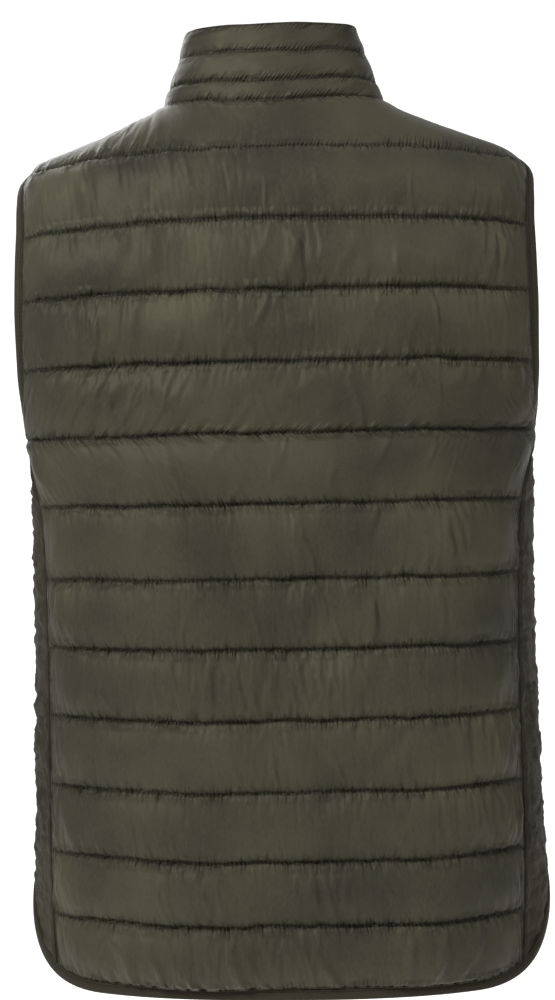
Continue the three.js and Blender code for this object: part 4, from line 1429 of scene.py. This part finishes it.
def softened(node, name, edge_mm, body):
    """A copy of one of the part's metal pieces with rounded edges."""
    mesh = bpy.data.objects[node].data.copy()
    mesh.name = name
    shape = bmesh.new()
    shape.from_mesh(mesh)
    bmesh.ops.remove_doubles(shape, verts=shape.verts, dist=0.02 * MM)
    bmesh.ops.dissolve_limit(shape, angle_limit=math.radians(1), verts=shape.verts, edges=shape.edges)
    shape.to_mesh(mesh)
    shape.free()
    mesh.materials.clear()
    obj = bpy.data.objects.new(name, mesh)
    bpy.context.scene.collection.objects.link(obj)
    bevel = obj.modifiers.new("rounded edges", "BEVEL")
    bevel.width = edge_mm * MM
    bevel.segments = 3
    bevel.limit_method = "ANGLE"
    bevel.harden_normals = False
    rounded = bpy.data.meshes.new_from_object(obj.evaluated_get(bpy.context.evaluated_depsgraph_get()))
    bpy.data.objects.remove(obj)
    rounded.name = name
    if not rounded.uv_layers:
        flat_uv(rounded)
    made = finished(name, rounded, look("dark_metal"))
    made.data.set_sharp_from_angle(angle=math.radians(35))
    return settle_piece(made, body, "zip_metal", node)


def make_zip():
    make_tape("left")
    make_tape("right")
    make_teeth()
    softened("zip_slider", "zip_slider_rounded", 0.5, VEST_BODY)
    softened("zip_bottom_stop", "zip_stop_rounded", 0.4, VEST_BODY)
    softened("zip_pull", "zip_pull_rounded", 0.3, PULL_BODY)


def make_stage(settings):
    scene = bpy.context.scene
    size = settings.room
    floor_z = settings.floor_z
    mesh = bpy.data.meshes.new("floor")
    rows = []
    for t in np.linspace(0, 1, 25):
        turn = t * math.pi / 2
        rows.append((size * 0.55 + math.sin(turn) * 0.8, 0.8 - math.cos(turn) * 0.8))
    profile = [(-size, 0.0)] + rows + [(size * 0.55 + 0.8, size)]
    vertices = []
    for y, z in profile:
        vertices += [(-size, -y, z + floor_z), (size, -y, z + floor_z)]
    faces = [(2 * i, 2 * i + 1, 2 * i + 3, 2 * i + 2) for i in range(len(profile) - 1)]
    mesh.from_pydata(vertices, [], faces)
    floor = bpy.data.objects.new("floor", mesh)
    scene.collection.objects.link(floor)
    mesh.polygons.foreach_set("use_smooth", [True] * len(faces))

    def pale(tree):
        place = add(tree, "TexCoord").outputs["Object"]
        tone = add(tree, "TexNoise", {"Vector": place, "Scale": 2.0}).outputs["Fac"]
        rough = add(tree, "MapRange", {"Value": tone, "To Min": 0.8, "To Max": 0.9})
        return {
            "Base Color": rgb("#f4f4f3"),
            "Roughness": rough.outputs[0],
            "Emission Color": rgb("#ffffff"),
            "Emission Strength": 0.36,
        }

    mesh.materials.append(material("floor", pale))

    world = bpy.data.worlds.new("studio")
    scene.world = world
    world.use_nodes = True
    background = world.node_tree.nodes["Background"]
    background.inputs[0].default_value = rgb("#f6f7f8")
    background.inputs[1].default_value = settings.world_strength

    for name, place, aim, side, power in LAMPS:
        lamp = bpy.data.lights.new(name, "AREA")
        lamp.shape = "SQUARE"
        lamp.size = side
        lamp.energy = power
        obj = bpy.data.objects.new(name, lamp)
        scene.collection.objects.link(obj)
        obj.location = place
        obj.rotation_euler = (Vector(aim) - Vector(place)).to_track_quat("-Z", "Y").to_euler()

    camera = bpy.data.cameras.new("camera")
    camera.sensor_width = 36.0
    camera.lens = settings.lens
    camera.shift_y = settings.shift
    obj = bpy.data.objects.new("camera", camera)
    scene.collection.objects.link(obj)
    azimuth = math.radians(settings.azimuth)
    away = settings.distance
    height = settings.eye_z
    obj.location = (math.sin(azimuth) * away, -math.cos(azimuth) * away, height)
    aim = Vector((settings.aim_x, 0.0, settings.aim_z))
    turn = (aim - obj.location).to_track_quat("-Z", "Y")
    roll = Vector((0, 0, 1))
    obj.rotation_euler = (turn.to_matrix() @ roll_matrix(settings.roll)).to_euler()
    scene.camera = obj
    scene.view_settings.view_transform = "Standard"


def roll_matrix(degrees):
    return Matrix.Rotation(math.radians(degrees), 3, "Z")


LAMPS = (
    ("key", (1.7, 1.8, 1.65), (0, 0, 0.1), 0.8, 86.0),
    ("fill", (-1.9, 1.6, 1.9), (0, 0, 0.3), 1.0, 34.0),
    ("front", (0.9, -2.2, 1.2), (0, 0, -0.3), 1.8, 45.0),
)


class VestSettings(bpy.types.PropertyGroup):
    """Sizes of the filling, in millimetres."""

    puff: bpy.props.FloatProperty(
        name="Puff", description="How far a channel's middle stands off the wall, in mm", default=PUFF, unit="NONE"
    )
    collar_puff: bpy.props.FloatProperty(
        name="Collar puff", description="The same on the collar, in mm", default=COLLAR_PUFF, unit="NONE"
    )


class StageSettings(bpy.types.PropertyGroup):
    """The studio and the camera, in metres and degrees."""

    room: bpy.props.FloatProperty(name="Room", description="Half width of the floor", default=4.0, unit="LENGTH")
    floor_z: bpy.props.FloatProperty(name="Floor", description="Height of the floor", default=-1.4, unit="LENGTH")
    world_strength: bpy.props.FloatProperty(name="World", description="Strength of the even light", default=0.2)
    lens: bpy.props.FloatProperty(name="Lens", description="Focal length in mm", default=55.1)
    shift: bpy.props.FloatProperty(name="Shift", description="How far the frame is shifted up", default=-0.03)
    azimuth: bpy.props.FloatProperty(name="Azimuth", description="Where the camera stands, degrees", default=182.5)
    distance: bpy.props.FloatProperty(name="Distance", description="Camera to origin", default=1.25, unit="LENGTH")
    eye_z: bpy.props.FloatProperty(name="Eye", description="Height of the camera", default=-0.294, unit="LENGTH")
    aim_x: bpy.props.FloatProperty(name="Aim across", description="Where it looks, across", default=0.003, unit="LENGTH")
    aim_z: bpy.props.FloatProperty(name="Aim up", description="Where it looks, in height", default=-0.294, unit="LENGTH")
    roll: bpy.props.FloatProperty(name="Roll", description="Turn about the line of sight, degrees", default=-1.26)


class VEST_OT_panels(bpy.types.Operator):
    """Builds the quilted back and fronts"""

    bl_idname = "vest.panels"
    bl_label = "Quilted panels"

    def execute(self, context):
        settings = context.scene.vest
        make_back(settings)
        make_front(settings, "left", 17)
        make_front(settings, "right", 23)
        return {"FINISHED"}


class VEST_OT_collar(bpy.types.Operator):
    """Builds the quilted stand collar"""

    bl_idname = "vest.collar"
    bl_label = "Collar"

    def execute(self, context):
        make_collar(context.scene.vest)
        return {"FINISHED"}


class VEST_OT_sides(bpy.types.Operator):
    """Builds the plain gathered side panels"""

    bl_idname = "vest.sides"
    bl_label = "Side panels"

    def execute(self, context):
        make_side("left", 41)
        make_side("right", 43)
        return {"FINISHED"}


class VEST_OT_bindings(bpy.types.Operator):
    """Builds the bindings of the armholes and the hem"""

    bl_idname = "vest.bindings"
    bl_label = "Bindings"

    def execute(self, context):
        make_armhole("left")
        make_armhole("right")
        make_hem()
        return {"FINISHED"}


class VEST_OT_zip(bpy.types.Operator):
    """Builds the zip's tapes, teeth, slider, pull tab and bottom stop"""

    bl_idname = "vest.zip"
    bl_label = "Zip"

    def execute(self, context):
        make_zip()
        return {"FINISHED"}


class VEST_OT_stage(bpy.types.Operator):
    """Builds the floor, lights and camera"""

    bl_idname = "vest.stage"
    bl_label = "Studio"

    def execute(self, context):
        make_stage(context.scene.vest_stage)
        return {"FINISHED"}


class VEST_PT_panel(bpy.types.Panel):
    """Buttons for each group of pieces"""

    bl_idname = "VEST_PT_panel"
    bl_label = "Puffer vest"
    bl_space_type = "VIEW_3D"
    bl_region_type = "UI"
    bl_category = "Puffer vest"

    def draw(self, context):
        column = self.layout.column()
        for kind in OPERATORS:
            column.operator(kind.bl_idname)


OPERATORS = (VEST_OT_panels, VEST_OT_collar, VEST_OT_sides, VEST_OT_bindings, VEST_OT_zip, VEST_OT_stage)
CLASSES = (VestSettings, StageSettings, *OPERATORS, VEST_PT_panel)


def register():
    for kind in CLASSES:
        bpy.utils.register_class(kind)
    bpy.types.Scene.vest = bpy.props.PointerProperty(type=VestSettings)
    bpy.types.Scene.vest_stage = bpy.props.PointerProperty(type=StageSettings)


def unregister():
    del bpy.types.Scene.vest_stage
    del bpy.types.Scene.vest
    for kind in reversed(CLASSES):
        bpy.utils.unregister_class(kind)


def plain(bounds):
    return [[float(v) for v in corner] for corner in bounds]


def main():
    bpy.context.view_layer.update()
    register()
    bpy.ops.vest.panels()
    bpy.ops.vest.collar()
    bpy.ops.vest.sides()
    bpy.ops.vest.bindings()
    bpy.ops.vest.zip()
    bpy.ops.vest.stage()


if __name__ == "__main__":
    main()
